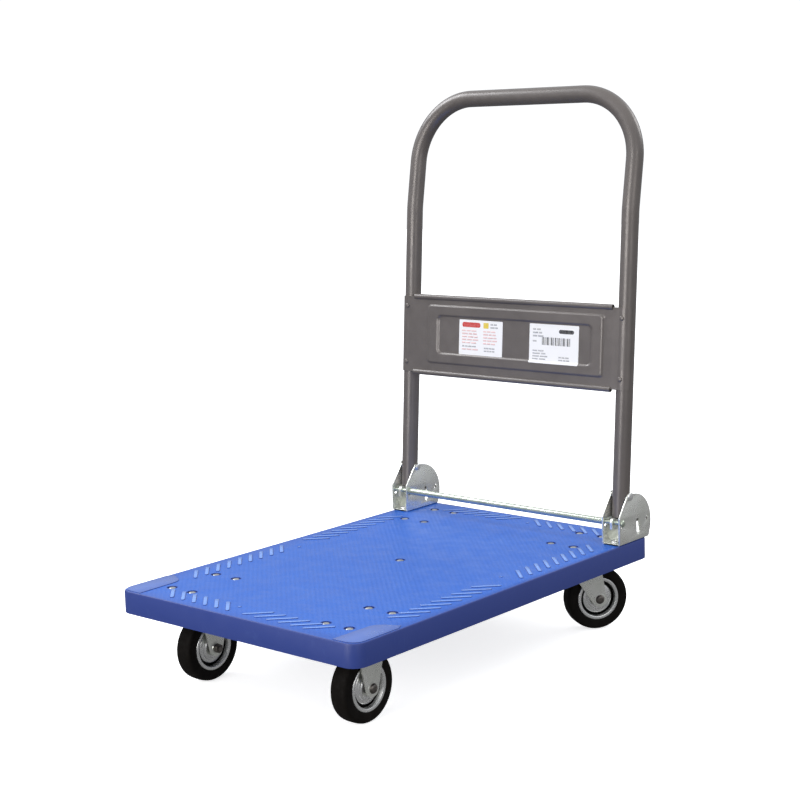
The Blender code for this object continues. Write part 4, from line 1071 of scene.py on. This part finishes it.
def make_pivot(side, sign, centre_x, outer):
    """The pivot bolt through both ears and the post, with a capped nut on the inner ear."""
    at = Matrix.Translation((centre_x, PIVOT.y, PIVOT.z)) @ facing_x(sign)
    bolt = domed_head(7 * MM, 2.4 * MM, outer, 0.8 * MM)
    bolt += [(AXLE_RADIUS, outer), (AXLE_RADIUS, -outer), (0, -outer)]
    piece(f"pivot_bolt_head_{side}", turned(bolt, 32), ZINC_BRIGHT, "chassis", at, (f"pivot_bolt_{side}",))
    nut = hex_nut(11.5 * MM, 2.4 * MM, 3 * MM)
    cap = turned(domed_head(4.6 * MM, 1.0 * MM, 2.2 * MM, 0.1 * MM) + [(0, 2.2 * MM)], 28)
    nut_at = at @ Matrix.Translation((0, 0, -outer)) @ Matrix.Rotation(math.pi, 4, "X")
    piece(f"pivot_cap_nut_{side}", joined([nut, cap]), ZINC_BRIGHT, "chassis", nut_at,
          (f"pivot_nut_{side}",))


def make_bracket_bolts(side):
    for end in ("front", "rear"):
        node = f"bracket_bolt_{side}_{end}"
        low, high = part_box(node)
        seat = high.z - 4 * MM
        profile = domed_head(7 * MM, 3.2 * MM, seat, 0.8 * MM) + [(4 * MM, seat), (4 * MM, low.z), (0, low.z)]
        place = Matrix.Translation(((low.x + high.x) / 2, (low.y + high.y) / 2, 0))
        piece(f"{node}_head", turned(profile, 32), ZINC_BRIGHT, "chassis", place, (node,))


def make_release_bar():
    """The foot bar: drawn rod with round riveted heads outside the ears."""
    half = (BAR_HIGH.x - BAR_LOW.x) / 2
    head, rod, sleeve = 3.6 * MM, 3.5 * MM, 5.5 * MM
    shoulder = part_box("bracket_right")[0].x - 0.3 * MM
    profile = domed_head(5.5 * MM, 2.8 * MM, half - head, 0.8 * MM) + [(rod, half - head), (rod, shoulder)]
    profile += [(sleeve - 0.5 * MM, shoulder), (sleeve, shoulder - 0.6 * MM)]
    profile += [(r, -z) for r, z in reversed(profile)]
    at = Matrix.Translation(BAR) @ TO_X
    piece("release_foot_bar", turned(profile, 40), ZINC_ROD, "release", at, ("release_bar",))
    for side in SIDES:
        cad_finish(f"lock_plate_{side}", ZINC_SHEET)
        cad_finish(f"lock_pin_{side}", DARK)


def make_springs():
    """Coil springs, each with a mesh of its own, in the places of the CAD springs."""
    for side in SIDES:
        node = f"release_spring_{side}"
        low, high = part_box(node)
        height = high.z - low.z
        place = ((low.x + high.x) / 2, (low.y + high.y) / 2, low.z)
        obj = piece(f"{node}_coil", coil(3.4 * MM, 0.6 * MM, height, 6), SPRING_STEEL, "chassis",
                    Matrix.Translation(place), (node,), 60)
        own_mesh(obj)


# ---- Studio ----

def soft_light(name, place, target, size, power, colour=(1, 1, 1)):
    light = bpy.data.lights.new(name, "AREA")
    light.shape = "DISK"
    light.size = size
    light.energy = power
    light.color = colour
    obj = in_scene(name, light)
    obj.location = place
    obj.rotation_mode = "QUATERNION"
    obj.rotation_quaternion = (Vector(target) - Vector(place)).to_track_quat("-Z", "Y")


def shade_by_height(tree, stops):
    """A colour that changes with the height of a direction, from straight down to straight up."""
    place = tree.nodes.new("ShaderNodeTexCoord").outputs["Generated"]
    split = tree.nodes.new("ShaderNodeSeparateXYZ")
    tree.links.new(place, split.inputs[0])
    share = tree.nodes.new("ShaderNodeMapRange")
    share.inputs["From Min"].default_value = -1
    tree.links.new(split.outputs["Z"], share.inputs["Value"])
    ramp = tree.nodes.new("ShaderNodeValToRGB")
    elements = ramp.color_ramp.elements
    while len(elements) < len(stops):
        elements.new(0.5)
    for element, (position, colour) in zip(elements, stops):
        element.position = position
        element.color = (*colour, 1)
    tree.links.new(share.outputs["Result"], ramp.inputs["Fac"])
    return ramp.outputs["Color"]


def make_backdrop():
    """A pale backdrop behind the floor; it shows to the camera and lights nothing."""
    bm = bmesh.new()
    bmesh.ops.create_uvsphere(bm, u_segments=48, v_segments=24, radius=BACKDROP_RADIUS)
    bmesh.ops.reverse_faces(bm, faces=bm.faces)
    mesh = from_bmesh(bm)
    s = Surface("backdrop_paper", 1.0, Emission_Strength=BACKDROP_GLOW)
    tone = s.mix(s.ranged(s.noise(0.4, 3), 0, 1), (0.93, 0.935, 0.95), (0.945, 0.95, 0.96))
    s.tree.links.new(tone, s.shader.inputs["Emission Color"])
    s.shader.inputs["Base Color"].default_value = (0, 0, 0, 1)
    mesh.materials.append(s.material)
    obj = in_scene("backdrop", mesh)
    obj.visible_diffuse = False
    obj.visible_glossy = False
    obj.visible_transmission = False
    obj.visible_shadow = False


def make_studio():
    """A pale floor under a tall white sky that darkens towards the ground, and four soft lights."""
    floor = turned([(0, 0), (3, 0), (BACKDROP_RADIUS - 0.5, 0)], 96)
    floor.materials.append(floor_paper("floor_paper"))
    obj = in_scene("floor", floor)
    obj.visible_diffuse = False
    obj.visible_glossy = False
    make_backdrop()

    world = bpy.data.worlds.new("studio")
    world.use_nodes = True
    stops = [(0.0, (0.16, 0.16, 0.16)), (0.45, (0.24, 0.24, 0.25)), (0.54, (0.42, 0.43, 0.45)),
             (0.75, (0.78, 0.80, 0.84)), (1.0, (1.0, 1.0, 1.0))]
    background = world.node_tree.nodes["Background"]
    world.node_tree.links.new(shade_by_height(world.node_tree, stops), background.inputs["Color"])
    background.inputs["Strength"].default_value = 1.0
    bpy.context.scene.world = world
    middle = (0, 0, 0.35)
    soft_light("key_light", (-2.2, -0.4, 2.4), middle, 1.5, 42, (0.93, 0.96, 1.0))
    soft_light("fill_light", (2.6, -1.2, 1.2), middle, 1.6, 9, (1.0, 0.96, 0.92))
    soft_light("front_light", (-0.2, -3.0, 1.0), (0, 0.3, 0.5), 1.8, 44, (1.0, 0.98, 0.95))
    soft_light("back_light", (1.2, 2.4, 2.2), middle, 1.6, 22)
    bpy.context.scene.view_settings.view_transform = "Standard"


def make_camera():
    """A long lens off the front right corner, as high as the handle's middle."""
    azimuth, elevation, roll = math.radians(40.7557), math.radians(9.1917), math.radians(-1.6586)
    distance = 2.5603
    target = Vector((0.018, DECK_Y, DECK_TOP + 0.2587))
    camera = bpy.data.cameras.new("camera")
    camera.sensor_width = 36
    camera.lens = 74.72
    obj = in_scene("camera", camera)
    right = Vector((math.cos(azimuth), math.sin(azimuth), 0))
    forward = Vector((-math.sin(azimuth) * math.cos(elevation), math.cos(azimuth) * math.cos(elevation),
                      -math.sin(elevation)))
    down = forward.cross(right)
    tilted = math.cos(roll) * right - math.sin(roll) * down
    lowered = math.sin(roll) * right + math.cos(roll) * down
    turn = Matrix((tilted, -lowered, -forward)).transposed().to_4x4()
    obj.matrix_world = Matrix.Translation(target - forward * distance) @ turn
    bpy.context.scene.camera = obj


# ---- The cart ----

cad_finish("deck", BLUE)
make_grip_relief()
make_corner_pads()
make_deck_bolts()
for side, sign in SIDES.items():
    make_wheel(f"front_{side}")
    make_wheel(f"rear_{side}")
    make_front_caster(side)
    make_rear_caster(side)
    make_bracket(side, sign)
    cad_finish(f"rear_{side}_kingpin", DARK)
    cad_finish(f"post_plug_{side}", NYLON)
    cad_finish(f"front_{side}_bush", NYLON)
    cad_finish(f"rear_{side}_bush", NYLON)
make_release_bar()
make_springs()
make_tube()
make_panel()
make_rivets()
make_label("left", red_layout, *LEFT_LABEL, "label_left")
make_label("right", stripe_layout, *RIGHT_LABEL, "label_right")
make_studio()
make_camera()
